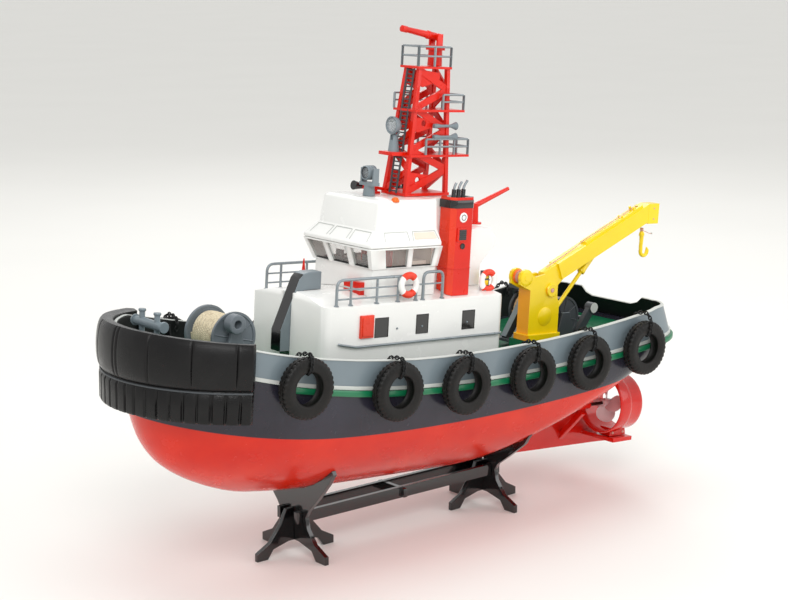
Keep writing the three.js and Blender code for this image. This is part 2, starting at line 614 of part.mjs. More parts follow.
// Lattice mast: four legs, the front pair raking aft, joined by zigzag bracing, with three platforms.
function addMast() {
  const foot = BRIDGE_ROOF_Z + GAP;
  const corners = (z) => {
    const t = (z - foot) / (MAST_TOP_Z - foot);
    const fore = lerp(18, 4, t);
    const half = lerp(14, 8, t);
    return [[fore, half, z], [-28, half, z], [-28, -half, z], [fore, -half, z]];
  };
  const heads = corners(MAST_TOP_Z - 1);
  const legs = corners(foot + 2).map((corner, n) => strut(corner, heads[n], 3.6));
  const knots = [304, 323, 340, 357, 376, 392, 409];
  const bracing = knots.slice(1).map((z, i) => {
    const low = corners(knots[i]);
    const high = corners(z);
    const [a, b] = i % 2 ? [1, 0] : [0, 1];
    const [c, d] = i % 2 ? [0, 3] : [3, 0];
    return [strut(low[a], high[b], 6, 2), strut(low[3 - a], high[3 - b], 6, 2),
      strut(low[c], high[d], 2, 5), strut(low[c === 0 ? 1 : 2], high[c === 0 ? 2 : 1], 2, 5)];
  });
  const plates = [block([-31, 20], [-16, 16], [foot, foot + 2.5]), block([-30, 9], [-12, 12],
    [MAST_TOP_Z - 2, MAST_TOP_Z]),
    block([-52, 16], [-16, 16], [334, 336]), block([-45, 12], [-15, 15], [373, 375])];
  const lampX = 22;
  const lampSeat = 337;
  const pedestal = cut(bar([lampX, 0, lampSeat], [lampX, 0, 352], 5, 12, 3.4),
    block([lampX - 11, lampX + 9], [-2, 2], [348, 360]));
  piece('mast', join(plates, legs, bracing, block([10, 31], [-9, 9], [335, lampSeat + 1]), pedestal),
    'red');

  addMonitor();
  piece('mast_lamp', join(bar([lampX - 4, 0, 360.6], [lampX + 4, 0, 360.6], 8, 18),
    block([lampX - 1, lampX + 1], [-1.7, 1.7], [348 + 2 * GAP, 353])), 'grey');
  addRoofLamp();
  piece('aft_monitor', join(bar([-79, 0, CASING_ROOF_Z + GAP], [-79, 0, CASING_ROOF_Z + 2], 6, 12),
    bar([-79, 0, CASING_ROOF_Z + 1], [-78, 0, 290], 3, 12), bar([-78, 0, 288], [-118, 0, 302.5], 2.6, 10,
      1.8)), 'red');
}

// Fire monitor on the mast head: a turret that pans and a barrel that tips between its ears.
function addMonitor() {
  const x = -20;
  const deck = MAST_TOP_Z + GAP;
  const ears = [4, -6].map((y) => block([x - 3, x + 3], [y, y + 2], [429, 440]));
  piece('monitor_turret', join(bar([x, 0, deck], [x, 0, 428], 6.5, 14, 6), bar([x, 0, 426], [x, 0, 430],
    8.5, 16), ears),
    'red');
  piece('monitor_barrel', join(bar([x - 6, 0, 436.6], [20, 0, 443.5], 3.2, 12, 2.2),
    bar([x, -3.6, 437.4], [x, 3.6, 437.4], 3, 12)), 'red');
}

// Searchlight on the bridge roof: a yoke that pans and a lamp that tips in it.
function addRoofLamp() {
  const x = 47;
  const z = 320;
  const ears = [7, -9].map((y) => block([x - 3, x + 3], [y, y + 2], [z - 10, z + 4]));
  piece('lamp_yoke', join(bar([x, 0, BRIDGE_ROOF_Z + GAP], [x, 0, z - 8], 5.5, 12, 4),
    block([x - 4, x + 4], [-9, 9], [z - 11, z - 8]), ears), 'grey');
  piece('roof_lamp', join(bar([x - 4, 0, z], [x + 6, 0, z], 6, 16), bar([x, -6.7, z], [x, 6.7, z], 1.5)),
    'grey');
}

// ---------------------------------------------------------------- crane
function addCrane() {
  const y0 = CRANE_Y - CRANE_WIDTH / 2;
  const y1 = CRANE_Y + CRANE_WIDTH / 2;
  const inside = [y0 + 3, y1 - 3];
  const [px, pz] = BOOM_PIVOT;
  const [sx, sz] = SHEAVE;
  const base = CRANE_BASE_Z;
  const profile = [[-152, base], [-114, base], [-114, 214], [-101, 220], [-101, 231], [-112, 231], [-120,
    226],
    [-133, 228], [-141, 222], [-149, 218], [-149, 206], [-152, 200]];
  const hollows = [block([-160, -120], inside, [206, 240]), block([-160, -145], inside, [180, 210]),
    block([-121, -95], inside, [216, 240])];
  const across = ([x, z], [from, to], radius, sides = 16) => bar([x, from, z], [x, to, z], radius, sides);
  const cheeks = [y0, y1 - 3].map((y) => across(SHEAVE, [y, y + 3], 7.6));
  const bosses = [y0 - 1.5, y1 - 1].map((y) => across(BOOM_PIVOT, [y, y + 2.5], 6));
  const plinth = slab(roundedPlan([-155, -111], 10.5, 4, 3), [base, base + 5], 'xy').translate(0,
    CRANE_Y, 0);
  const pins = [[BOOM_PIVOT, 2], [SHEAVE, 1.6], [RAM_FOOT, 1.4]]
    .map(([place, radius]) => across(place, [y0 + 1, y1 - 1], radius, 10));
  piece('crane_turret', join(cut(slab(profile, [y0, y1]), hollows), cheeks, bosses, plinth, pins),
    'yellow');
  piece('crane_sheave', turned([[1.9, -4], [6.6, -4], [5.2, -1.5], [5.2, 1.5], [6.6, 4], [1.9, 4]], 16)
    .translate(sx, CRANE_Y, sz), 'orange');

  // Boom: a box beam that rises aft from its pivot. Places on it are (distance along, height above the
  // pivot line).
  const dir = [-Math.cos(BOOM_RISE), Math.sin(BOOM_RISE)];
  const up = [dir[1], -dir[0]];
  const along = (s, h) => [px + dir[0] * s + up[0] * h, pz + dir[1] * s + up[1] * h];
  const at = ([x, z], y = CRANE_Y) => [x, y, z];
  const width = (half) => [CRANE_Y - half, CRANE_Y + half];
  const root = slab([along(-4, -3), along(-4, 8), along(1, 17), along(26, 18), along(26, 2), along(5,
    -4)], width(4.1));
  const beam = slab([along(18, 2), along(18, 18), along(147, 18), along(BOOM_LENGTH + 8.9, 12.5),
    along(BOOM_LENGTH + 0.8, -5),
    along(139, 0.6), along(139, 2)], width(6.3));
  const cap = slab([along(59, 17), along(59, 20), along(140, 20), along(140, 17)], width(4));
  const ramPocket = slab([along(42, -4), along(42, 4), along(66, 14), along(84, 14), along(90, -4)],
    width(4.2));
  const ropeHole = bar(at(along(135.6, -6)), at(along(135.6, 26)), 1.6);
  const ramPin = across(along(...RAM_HEAD), width(5), 1.4, 10);
  piece('crane_boom', join(cut(join(root, beam, cap), across(BOOM_PIVOT, width(9), 2.4), ramPocket,
    ropeHole), ramPin),
    'yellow');

  // Ram: the rod pivots on the turret's foot, and the cylinder slides on it and meets the boom's pin.
  const foot = at(RAM_FOOT);
  const head = at(along(...RAM_HEAD));
  const span = Math.hypot(head[0] - foot[0], head[2] - foot[2]);
  const ramAt = (distance) => foot.map((v, i) => v + (head[i] - v) * distance / span);
  piece('crane_ram_rod', cut(join(across(RAM_FOOT, width(3.6), 3.4), bar(foot, ramAt(span - 14), 1.9, 10)),
    across(RAM_FOOT, width(8), 1.8)), 'yellow');
  piece('crane_ram_cylinder', cut(
    join(bar(ramAt(span - 30), ramAt(span - 4.2), 3.5, 12), across(along(...RAM_HEAD), width(2.4), 4.6)),
    bar(ramAt(span - 32), ramAt(span - 5.5), 2.3, 12), across(along(...RAM_HEAD), width(8), 2.9),
  ), 'yellow');

  // Hook, hanging plumb under the boom's head.
  const [hx, hz] = along(HOOK_ALONG, -2.6);
  const bend = Array.from({ length: 13 }, (_, i) => THREE.MathUtils.degToRad(20 * i - 20));
  const hookPath = [[0, -8], [0.5, -15], ...bend.map((a) => [-3.5 + 4.6 * Math.cos(a),
    -23 - 4.6 * Math.sin(a)])];
  const wire = new THREE.CatmullRomCurve3(hookPath.map(([x, z]) => new THREE.Vector3(x, 0, z)));
  const crook = new THREE.ExtrudeGeometry(disc(1.6, 8), { steps: 22, extrudePath: wire });
  const shank = bar([0, 0, -0.4], [0, 0, -9], 1.1, 8, 2.2);
  piece('crane_hook', join(shank, crook).rotateY(BOW_UP).translate(hx, CRANE_Y, hz), 'yellow');

  // Rope: from the boom's root along its top, then down through the hole to the hook.
  const route = [[8, 18.7], [20, 18.8], [35, 19], [50, 19.6], [60, 20.8], [80, 20.9], [100, 20.9], [120,
    20.9],
    [129, 21.3], [133.6, 21.2], [135.7, 19], [135.8, 12], [135.8, 4], [135.8, -1]];
  const ropeLine = new THREE.CatmullRomCurve3(route.map(([s, h]) => new THREE.Vector3(...at(along(s, h)))));
  piece('crane_rope', new THREE.ExtrudeGeometry(disc(ROPE_R, 8), { steps: 40, extrudePath: ropeLine }),
    'rope');
}

// ---------------------------------------------------------------- stand
// Two cradle plates halved into two feet, held apart by a pair of beams with a tie between them.
function addStand() {
  const half = STAND_PLATE / 2;
  const hullCutter = hullBody(0.5).rotateY(-BOW_UP);
  const beams = (grow, run) => SIDES.map(([, side]) => block(run, [side * BEAM_Y - half - grow,
    side * BEAM_Y + half + grow],
    [BEAM_Z[0] - grow, BEAM_Z[1] + grow]));
  const mirrored = (points) => [...points, ...points.slice().reverse().map(([a, b]) => [-a, b])];
  for (const [name, x, tipY, tipZ] of [['front', CRADLE_X, 54, 84], ['rear', -CRADLE_X, 60.5, 80]]) {
    const outline = mirrored([[8, 12], [26, 8], [32, 0], [45, 0], [45, 7], [30, 14], [20, 26], [18, 36],
      [22, 42],
      [36, tipZ - 28], [tipY - 4, tipZ - 12], [tipY + 3, tipZ - 2], [tipY - 4, tipZ + 12]]);
    const plate = slab(outline, [x - half, x + half], 'yz');
    const notch = block([x - 10, x + 10], [-half - GAP, half + GAP], [-5, 24]);
    const skegSlot = block([x - 10, x + 10], [-2.5 - GAP, 2.5 + GAP], [x > 0 ? 60 : 42, 90]);
    piece(`stand_cradle_${name}`, cut(plate, hullCutter, beams(GAP, [-200, 200]), notch, skegSlot),
      'black', model);
    const footOutline = mirrored([[8, 12], [24, 8], [30, 0], [41, 0], [41, 7], [28, 14], [16, 28], [10,
      41]]);
    const foot = slab(footOutline.map(([a, b]) => [x + a, b]), [-half, half]);
    const halving = block([x - half - GAP, x + half + GAP], [-10, 10], [24 - GAP, 60]);
    piece(`stand_foot_${name}`, cut(foot, halving), 'black', model);
  }
  const tie = block([-half, half], [-BEAM_Y - 6, BEAM_Y + 6], [BEAM_Z[0] + 1, BEAM_Z[1] - 1]);
  piece('stand_rails', join(beams(0, [-CRADLE_X - 8, CRADLE_X + 8]), tie), 'black', model);
}

addHull();
addBowFender();
addTyres();
addRunningGear();
addDeckGear();
addHouse();
addFunnels();
addRails();
addMast();
addCrane();
addStand();

// The origin goes to the ground under the centre of the box.
model.updateMatrixWorld(true);
const box = new THREE.Box3().setFromObject(model, true);
model.position.set(-(box.min.x + box.max.x) / 2, -(box.min.y + box.max.y) / 2, -box.min.z);
model.updateMatrixWorld(true);

export default model;
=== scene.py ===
import math
import random

import bmesh
import bpy
from mathutils import Matrix, Vector

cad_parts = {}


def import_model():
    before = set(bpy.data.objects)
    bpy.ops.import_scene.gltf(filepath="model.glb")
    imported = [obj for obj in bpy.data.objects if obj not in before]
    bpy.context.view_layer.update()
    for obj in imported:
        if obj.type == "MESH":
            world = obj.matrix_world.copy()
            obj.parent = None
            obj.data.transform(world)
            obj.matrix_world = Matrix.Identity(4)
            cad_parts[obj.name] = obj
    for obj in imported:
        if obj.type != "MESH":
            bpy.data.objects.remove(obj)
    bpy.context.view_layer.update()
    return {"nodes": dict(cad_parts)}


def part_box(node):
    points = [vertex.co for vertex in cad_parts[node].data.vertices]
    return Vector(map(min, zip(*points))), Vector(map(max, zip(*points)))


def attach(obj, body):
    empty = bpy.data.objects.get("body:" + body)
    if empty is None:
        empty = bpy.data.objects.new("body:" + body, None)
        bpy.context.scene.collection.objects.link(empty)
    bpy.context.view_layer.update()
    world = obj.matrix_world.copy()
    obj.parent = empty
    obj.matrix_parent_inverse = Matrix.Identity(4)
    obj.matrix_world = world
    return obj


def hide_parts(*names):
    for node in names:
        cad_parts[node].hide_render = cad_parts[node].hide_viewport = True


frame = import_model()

# ------------------------------------------------------------------ the boat's own axes
# Boat coordinates are millimetres: x forward from the stand's centre, y to port, z up from the ground,
# all pitched bow-up about the stand.
TRIM = math.radians(3.86)
CRADLE_X = 0.110
cradle_lo, cradle_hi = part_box("stand_cradle_front")
SHIFT = (cradle_lo.x + cradle_hi.x) / 2 - CRADLE_X
BOAT = Matrix.Translation((SHIFT, 0, 0)) @ Matrix.Rotation(-TRIM, 4, "Y") @ Matrix.Scale(0.001, 4)
SIDES = [("port", 1), ("starboard", -1)]


def lerp(a, b, t):
    return a + (b - a) * t


def clamp(v, low=0.0, high=1.0):
    return max(low, min(high, v))


def smooth_step(v, low, high):
    t = clamp((v - low) / (high - low))
    return t * t * (3 - 2 * t)


def world(x, y, z):
    return BOAT @ Vector((x, y, z))


# ------------------------------------------------------------------ camera
VIEW_AZIMUTH, VIEW_DROP = math.radians(50.07), math.radians(11.53)
camera_data = bpy.data.cameras.new("camera")
camera_data.sensor_width = 36
camera_data.lens = 83.1
camera = bpy.data.objects.new("camera", camera_data)
bpy.context.scene.collection.objects.link(camera)
camera.location = (1.0047 + SHIFT, 1.2022, 0.5272)
look = Vector((-math.cos(VIEW_AZIMUTH) * math.cos(VIEW_DROP), -math.sin(VIEW_AZIMUTH) * math.cos(VIEW_DROP),
               -math.sin(VIEW_DROP)))
camera.rotation_euler = look.to_track_quat("-Z", "Y").to_euler()
camera_data.clip_start, camera_data.clip_end = 0.05, 20
bpy.context.scene.camera = camera


# ------------------------------------------------------------------ materials
def linear(hex_color):
    """A colour in linear light, with alpha, from its six hex digits."""
    parts = [int(hex_color[i:i + 2], 16) / 255 for i in (0, 2, 4)]
    return [p / 12.92 if p <= 0.04045 else ((p + 0.055) / 1.055) ** 2.4 for p in parts] + [1]


class Nodes:
    """A material's node tree, with short calls for the nodes that the finishes share."""

    def __init__(self, name, roughness=0.4, metal=0.0, coat=0.0, specular=0.5):
        self.material = bpy.data.materials.new(name)
        self.material.use_nodes = True
        self.tree = self.material.node_tree
        self.shader = self.tree.nodes["Principled BSDF"]
        self.set("Roughness", roughness)
        self.set("Metallic", metal)
        self.set("Specular IOR Level", specular)
        self.set("Coat Weight", coat)
        self.set("Coat Roughness", 0.06)
        self.place = self.node("ShaderNodeTexCoord").outputs["Object"]

    def node(self, kind, inputs=(), **settings):
        made = self.tree.nodes.new(kind)
        for key, value in settings.items():
            setattr(made, key, value)
        for key, value in dict(inputs).items():
            if isinstance(value, bpy.types.NodeSocket):
                self.tree.links.new(value, made.inputs[key])
            else:
                made.inputs[key].default_value = value
        return made

    def set(self, key, value):
        self.shader.inputs[key].default_value = value

    def link(self, key, socket):
        self.tree.links.new(socket, self.shader.inputs[key])

    def noise(self, scale, detail=3, rough=0.55):
        settings = {"Vector": self.place, "Scale": scale, "Detail": detail, "Roughness": rough}
        made = self.node("ShaderNodeTexNoise", settings)
        return made.outputs["Fac"]

    def steps(self, value, low, high, to_low=0.0, to_high=1.0):
        return self.node("ShaderNodeMapRange", {0: value, 1: low, 2: high, 3: to_low,
                                                4: to_high}).outputs[0]

    def math(self, operation, a, b=0.0):
        return self.node("ShaderNodeMath", {0: a, 1: b}, operation=operation).outputs[0]

    def mix(self, factor, a, b):
        return self.node("ShaderNodeMix", {0: factor, 6: a, 7: b}, data_type="RGBA").outputs[2]

    def bump(self, height, distance, strength=1.0):
        self.link("Normal", self.node("ShaderNodeBump", {"Height": height, "Distance": distance,
                                                         "Strength": strength}).outputs[0])


def shade(color, factor):
    return [clamp(c * factor) for c in color[:3]] + [1]


def plastic(name, color, roughness=0.35, metal=0.0, coat=0.0, vary=0.07, specular=0.5):
    """Moulded or painted surface: faint cloudy colour, uneven gloss and a fine skin."""
    n = Nodes(name, roughness, metal, coat, specular)
    base = linear(color)
    cloud = n.noise(26, 4)
    n.link("Base Color", n.mix(n.steps(cloud, 0.3, 0.7), shade(base, 1 - vary), shade(base, 1 + vary)))
    n.link("Roughness", n.steps(n.noise(70, 5), 0.3, 0.7, roughness * 0.85, roughness * 1.2))
    n.bump(n.noise(900, 3), 0.00004)
    return n.material


def boot_line(n):
    """1 below the painted waterline, 0 above, from the place in the boat's own axes."""
    sep = n.node("ShaderNodeSeparateXYZ", {0: n.place}).outputs
    along = n.math("SUBTRACT", sep[0], SHIFT)
    x = n.math("ADD", n.math("MULTIPLY", along, math.cos(TRIM)), n.math("MULTIPLY", sep[2], math.sin(TRIM)))
    z = n.math("SUBTRACT", n.math("MULTIPLY", sep[2], math.cos(TRIM)),
               n.math("MULTIPLY", along, math.sin(TRIM)))
    reach = n.math("SUBTRACT", x, 0.075)
    bend = n.math("ADD", 0.36, n.math("MULTIPLY", n.math("SIGN", reach), 0.09))
    edge = n.math("ADD", 0.112, n.math("MULTIPLY", bend, n.math("MULTIPLY", reach, reach)))
    return n.steps(n.math("SUBTRACT", z, edge), 0.0003, -0.0003)


def hull_paint():
    """Red below the painted waterline and dark slate above it."""
    n = Nodes("hull_paint", 0.24, coat=0.15, specular=0.35)
    below = boot_line(n)
    cloud = n.steps(n.noise(22, 4), 0.3, 0.7)
    red = n.mix(cloud, linear("cf1c03"), linear("df2a08"))
    slate = n.mix(cloud, linear("24232d"), linear("2f2e3a"))
    stain = n.steps(n.noise(38, 8, 0.7), 0.58, 0.74, 0, 0.4)
    slate = n.mix(stain, slate, linear("3f3e4a"))
    n.link("Base Color", n.mix(below, slate, red))
    n.link("Roughness", n.steps(n.noise(60, 5), 0.3, 0.7, 0.17, 0.3))
    n.bump(n.math("ADD", n.noise(14, 2), n.math("MULTIPLY", n.noise(800, 2), 0.05)), 0.0006, 0.5)
    return n.material


def rubber(name, color, dust, roughness):
    """Black rubber with dusty patches and a fine grain."""
    n = Nodes(name, roughness, specular=0.28)
    base = linear(color)
    worn = n.steps(n.noise(60, 8, 0.7), 0.46, 0.75, 0, 0.75)
    n.link("Base Color", n.mix(worn, base, linear(dust)))
    n.link("Roughness", n.steps(n.noise(45, 6), 0.3, 0.7, roughness * 0.72, roughness * 1.2))
    n.bump(n.noise(1300, 4), 0.00016)
    return n.material


def rope_finish(name, color, dirt, amount):
    """Twisted strands, darker in the grooves between them as painted shade, with dirty spots; amount from 0
    to 1 says how many.
    """
    n = Nodes(name, 0.85, specular=0.2)
    base = linear(color)
    strand = n.node("ShaderNodeTexWave", {"Vector": n.place, "Scale": 420, "Distortion": 3, "Detail": 2},
                    bands_direction="DIAGONAL").outputs["Fac"]
    # The strand wave also drives the bump: the grooves between strands are painted darker, painted shade.
    groove_shaded_fibre = n.mix(strand, shade(base, 0.82), shade(base, 1.08))
    spot = n.steps(n.noise(170, 6, 0.75), 0.6 - amount * 0.2, 0.78, 0, 0.85)
    n.link("Base Color", n.mix(spot, groove_shaded_fibre, linear(dirt)))
    n.bump(n.math("ADD", strand, n.noise(2200, 2)), 0.00022, 0.7)
    return n.material


def clear(name, color, roughness=0.06):
    """Clear plastic that lets most of what is behind it through."""
    n = Nodes(name, roughness)
    n.set("Alpha", 0.16)
    n.link("Base Color", n.mix(n.noise(40, 3), linear(color), shade(linear(color), 0.93)))
    return n.material


def deck_paint():
    """Matt green with darker worn patches."""
    n = Nodes("deck_green", 0.55, specular=0.3)
    base = linear("0a6340")
    worn = n.steps(n.noise(75, 7, 0.7), 0.5, 0.8, 0, 0.5)
    n.link("Base Color", n.mix(worn, base, linear("0a4d33")))
    n.link("Roughness", n.steps(n.noise(140, 5), 0.3, 0.7, 0.42, 0.66))
    n.bump(n.noise(1500, 2), 0.0002)
    return n.material


FINISH = {
    "hull": hull_paint(),
    "red": plastic("red_paint", "dc1c04", 0.3, coat=0.12, specular=0.35),
    "gloss_red": plastic("gloss_red_paint", "d01203", 0.2, coat=0.35, specular=0.35),
    # Light red: the red box's and the life rings' own colour, and on the funnels' forward faces a painted
    # lit side.
    "light_red": plastic("light_red_paint_and_lit_side", "ea3a1c", 0.28, coat=0.15, specular=0.4),
    "white": plastic("white_paint", "f4f4f1", 0.24, coat=0.35, vary=0.015),
    "trim": plastic("light_trim", "c9ccc8", 0.4, vary=0.05),
    "grey": plastic("grey_paint", "7b868c", 0.4, vary=0.06),
    "bulwark": plastic("bulwark_grey", "76838a", 0.34, coat=0.2, vary=0.05),
    "inner": plastic("bulwark_black", "0f1011", 0.5, vary=0.12, specular=0.35),
    "rail": plastic("rail_grey", "8e969b", 0.3, metal=0.35, vary=0.08),
    # Dark grey paint on many parts; on the bow fender's bead this grey, lighter than the rubber, is a
    # painted highlight.
    "dark": plastic("dark_grey_paint", "3e4246", 0.42, vary=0.09),
    "winch": plastic("winch_grey", "6e767d", 0.36, vary=0.09),
    "black": plastic("black_gloss", "0d0d0e", 0.18, coat=0.5, vary=0.1),
    "pane": plastic("black_pane", "050505", 0.12, coat=0.6, vary=0.1),
    "stand": plastic("stand_black", "0f0f10", 0.14, coat=0.7, vary=0.1),
    "green": plastic("strake_green", "0f7148", 0.34, coat=0.2),
    "deck": deck_paint(),
    "yellow": plastic("crane_yellow", "f7d602", 0.32, coat=0.25, vary=0.05),
    "amber": plastic("crane_amber", "f9a60c", 0.34, coat=0.2, vary=0.06),
    "orange": plastic("sheave_orange", "ef6a12", 0.4, vary=0.06),
    "blade": plastic("propeller_pink", "dcc4c6", 0.3, coat=0.3, vary=0.05),
    "shaft": plastic("shaft_brown", "2b1a17", 0.3, metal=0.5, vary=0.2),
    "rivet": plastic("rivet_pale", "d9a79a", 0.35, metal=0.3),
    "steel": plastic("bright_steel", "a9adb0", 0.25, metal=1.0, vary=0.06),
    "wrap": plastic("battery_wrap", "234a9c", 0.4),
    "wood": plastic("cabin_tan", "f0dccb", 0.6, vary=0.06),
    "fender": rubber("fender_rubber", "0d0c0d", "181717", 0.32),
    "tyre": rubber("tyre_rubber", "0c0b0a", "1f1a17", 0.46),
    "rope": rope_finish("cream_rope", "e0d3b6", "7a5a3c", 0.35),
    "tan_rope": rope_finish("tan_rope", "cfae84", "8a6a48", 0.3),
    "thread": rope_finish("pink_thread", "d9a898", "c08a78", 0.1),
    "glass": clear("window_glass", "f1e9e4"),
    "lens": clear("lamp_glass", "e8eef2", 0.1),
}


# ------------------------------------------------------------------ mesh helpers, in boat millimetres
def emit(name, bm, body, finishes, bevel=0.0, replaced=(), solidify=0.0):
    """Turns a mesh built in boat millimetres into a piece in metres that rides on a body."""
    bmesh.ops.recalc_face_normals(bm, faces=bm.faces)
    mesh = bpy.data.meshes.new(name)
    bm.to_mesh(mesh)
    bm.free()
    mesh.transform(BOAT)
    finish_piece(name, mesh, body, finishes, bevel, 2, 32, replaced, solidify)


def finish_piece(name, mesh, body, finishes, bevel, segments, angle, replaced=(), solidify=0.0):
    """Links a mesh in metres as a piece, with its finishes, wall thickness and softened edges."""
    obj = bpy.data.objects.new(name, mesh)
    bpy.context.scene.collection.objects.link(obj)
    for key in [finishes] if isinstance(finishes, str) else finishes:
        mesh.materials.append(FINISH[key])
    if solidify:
        wall = obj.modifiers.new("wall", "SOLIDIFY")
        wall.thickness = solidify / 1000
        wall.offset = -1
    if bevel:
        soft = obj.modifiers.new("edges", "BEVEL")
        soft.width = bevel / 1000
        soft.segments = segments
        soft.limit_method = "ANGLE"
        soft.angle_limit = math.radians(angle)
        soft.use_clamp_overlap = True
    mesh.set_sharp_from_angle(angle=math.radians(45))
    for face in mesh.polygons:
        face.use_smooth = True
    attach(obj, body)
    if replaced:
        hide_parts(*([replaced] if isinstance(replaced, str) else replaced))


def refined(node, body, finishes, bevel=0.4, segments=2, paint=None):
    """A CAD node with softened edges; paint picks each face's finish from its centre and normal."""
    source = frame["nodes"][node].data
    bm = bmesh.new()
    bm.from_mesh(source)
    bmesh.ops.remove_doubles(bm, verts=bm.verts, dist=2e-6)
    bmesh.ops.dissolve_limit(bm, angle_limit=math.radians(0.6), verts=bm.verts, edges=bm.edges)
    back = BOAT.inverted()
    turn = back.to_3x3()
    for face in bm.faces:
        face.material_index = 0
        if paint:
            centre = back @ face.calc_center_median()
            face.material_index = paint(centre, (turn @ face.normal).normalized())
    mesh = bpy.data.meshes.new(f"{node}_form")
    bm.to_mesh(mesh)
    bm.free()
    finish_piece(f"{node}_form", mesh, body, finishes, bevel, segments, 30, node)


def skin(bm, rings, closed_rows=False, mat=None, open_rings=False):
    """Quads over a row of rings with equal counts; mat gives a finish index from (row, column)."""
    rows = [[bm.verts.new(p) for p in ring] for ring in rings]
    count = len(rows[0])
    spans = len(rows) if closed_rows else len(rows) - 1
    for r in range(spans):
        a, b = rows[r], rows[(r + 1) % len(rows)]
        for i in range(count - 1 if open_rings else count):
            j = (i + 1) % count
            face = bm.faces.new((a[i], a[j], b[j], b[i]))
            if mat:
                face.material_index = mat(r, i)
    if not closed_rows:
        for ring, index in ((rows[0], 0), (rows[-1], spans - 1)):
            face = bm.faces.new(ring)
            if mat:
                face.material_index = mat(index, 0)
    return rows


def frames(points, closed=False):
    """Points with two cross directions that don't twist along the path."""
    points = [Vector(p) for p in points]
    side = None
    out = []
    for i, p in enumerate(points):
        before = points[i - 1] if i or closed else p
        after = points[(i + 1) % len(points)] if i < len(points) - 1 or closed else p
        ahead = (after - before).normalized()
        if side is None:
            side = ahead.orthogonal().normalized()
        side = (side - ahead * side.dot(ahead)).normalized()
        out.append((p, side.copy(), ahead.cross(side)))
    return out


def tube(bm, points, radius, sides=10, closed=False, mat=0):
    """A round bar along a path; radius is one number or one for each point."""
    radii = radius if isinstance(radius, (list, tuple)) else [radius] * len(points)
    rings = []
    for (p, u, v), r in zip(frames(points, closed), radii):
        rings.append([p + (u * math.cos(a) + v * math.sin(a)) * r
                      for a in (2 * math.pi * k / sides for k in range(sides))])
    skin(bm, rings, closed_rows=closed, mat=lambda r, i: mat)


def lathe(bm, profile, sides, origin, axis="y", mat=0, hollow=True):
    """Turns a profile of (radius, along) pairs about an axis; a hollow one is a closed loop."""
    directions = {"x": ((1, 0, 0), (0, 1, 0), (0, 0, 1)), "y": ((0, 1, 0), (0, 0, 1), (1, 0, 0)),
                  "z": ((0, 0, 1), (1, 0, 0), (0, 1, 0))}
    if isinstance(axis, str):
        along, u, v = (Vector(d) for d in directions[axis])
    else:
        along = Vector(axis).normalized()
        u = along.orthogonal().normalized()
        v = along.cross(u)
    o = Vector(origin)
    pick = mat if callable(mat) else (lambda r, i: mat)
    rings = []
    for k in range(sides):
        a = 2 * math.pi * k / sides
        out = u * math.cos(a) + v * math.sin(a)
        rings.append([o + along * t + out * r for r, t in profile])
    rows = skin(bm, rings, closed_rows=True, mat=pick, open_rings=not hollow)
    if not hollow:
        for end, column in ((0, 0), (-1, len(profile) - 2)):
            bm.faces.new([row[end] for row in rows]).material_index = pick(0, column)


def turned(bm, profile, sides, origin, axis="y", mat=0):
    """A solid turned body: the profile starts and ends close to the axis, and both ends are filled in."""
    lathe(bm, profile, sides, origin, axis, mat, hollow=False)


def rod(bm, start, end, radius, sides=12, mat=0):
    tube(bm, [start, end], radius, sides, mat=mat)


def brick(bm, xr, yr, zr, mat=0):
    corners = [bm.verts.new((x, y, z)) for x in xr for y in yr for z in zr]
    for a, b, c, d in ((0, 1, 3, 2), (4, 6, 7, 5), (0, 4, 5, 1), (2, 3, 7, 6), (0, 2, 6, 4), (1, 5, 7, 3)):
        bm.faces.new((corners[a], corners[b], corners[c], corners[d])).material_index = mat


def prism(bm, outline, span, plane="xz", mat=0):
    """An outline extruded along the axis that is not in its plane."""
    place = {"xz": lambda a, b, c: (a, c, b), "xy": lambda a, b, c: (a, b, c),
             "yz": lambda a, b, c: (c, a, b)}[plane]
    low, high = ([bm.verts.new(place(a, b, c)) for a, b in outline] for c in span)
    bm.faces.new(low).material_index = mat
    bm.faces.new(high).material_index = mat
    for i in range(len(outline)):
        j = (i + 1) % len(outline)
        bm.faces.new((low[i], low[j], high[j], high[i])).material_index = mat


def bent(points, radius, steps=5):
    """A path through straight runs with rounded corners."""
    points = [Vector(p) for p in points]
    out = [points[0]]
    for a, b, c in zip(points, points[1:], points[2:]):
        reach = min(radius, (a - b).length * 0.48, (c - b).length * 0.48)
        p, q = b + (a - b).normalized() * reach, b + (c - b).normalized() * reach
        out += [(1 - t) ** 2 * p + 2 * t * (1 - t) * b + t * t * q
                for t in (k / steps for k in range(steps + 1))]
    return out + [points[-1]]


# ------------------------------------------------------------------ hull lines, as the frame has them
KEEL_Z, KEEL_HALF, HALF_BEAM = 51, 4, 90
BOW_X, TRANSOM_X = 283, -278
HULL_RISE = 97
WALL = 2.4
SHAFT_Y, SHAFT_Z = 30, 96


def sheer(x):
    run = (x - 20) / 185 if x > 20 else (20 - x) / 251
    return 143 + 18 * run * run


def bulwark_top(x, y):
    rise = 19 * ((x - 30) / 190) ** 2 if x > 30 else 20.5 * ((30 - x) / 247) ** 2
    lowered = smooth_step(46 - abs(y), 0, 12) * 8 if x < TRANSOM_X + 12 else 0
    return 174.5 + min(rise, 24) - lowered


def waterline(t, inset=0.0):
    fullness = (1 - (1 - t) ** 2) ** (2 / 3)
    return {"half": lerp(KEEL_HALF, HALF_BEAM, fullness) - inset, "shoulder": 55 + 132 * t ** 1.2,
            "bow": 168 + 106 * (1 - (1 - t) ** 3) ** 0.7 + (BOW_X - 274) * t ** 6 - inset,
            "quarter": -40 - 150 * t, "stern": -70 - (-70 - TRANSOM_X) * t ** 0.9 + inset,
            "corner": 2 + 3 * t ** 3}


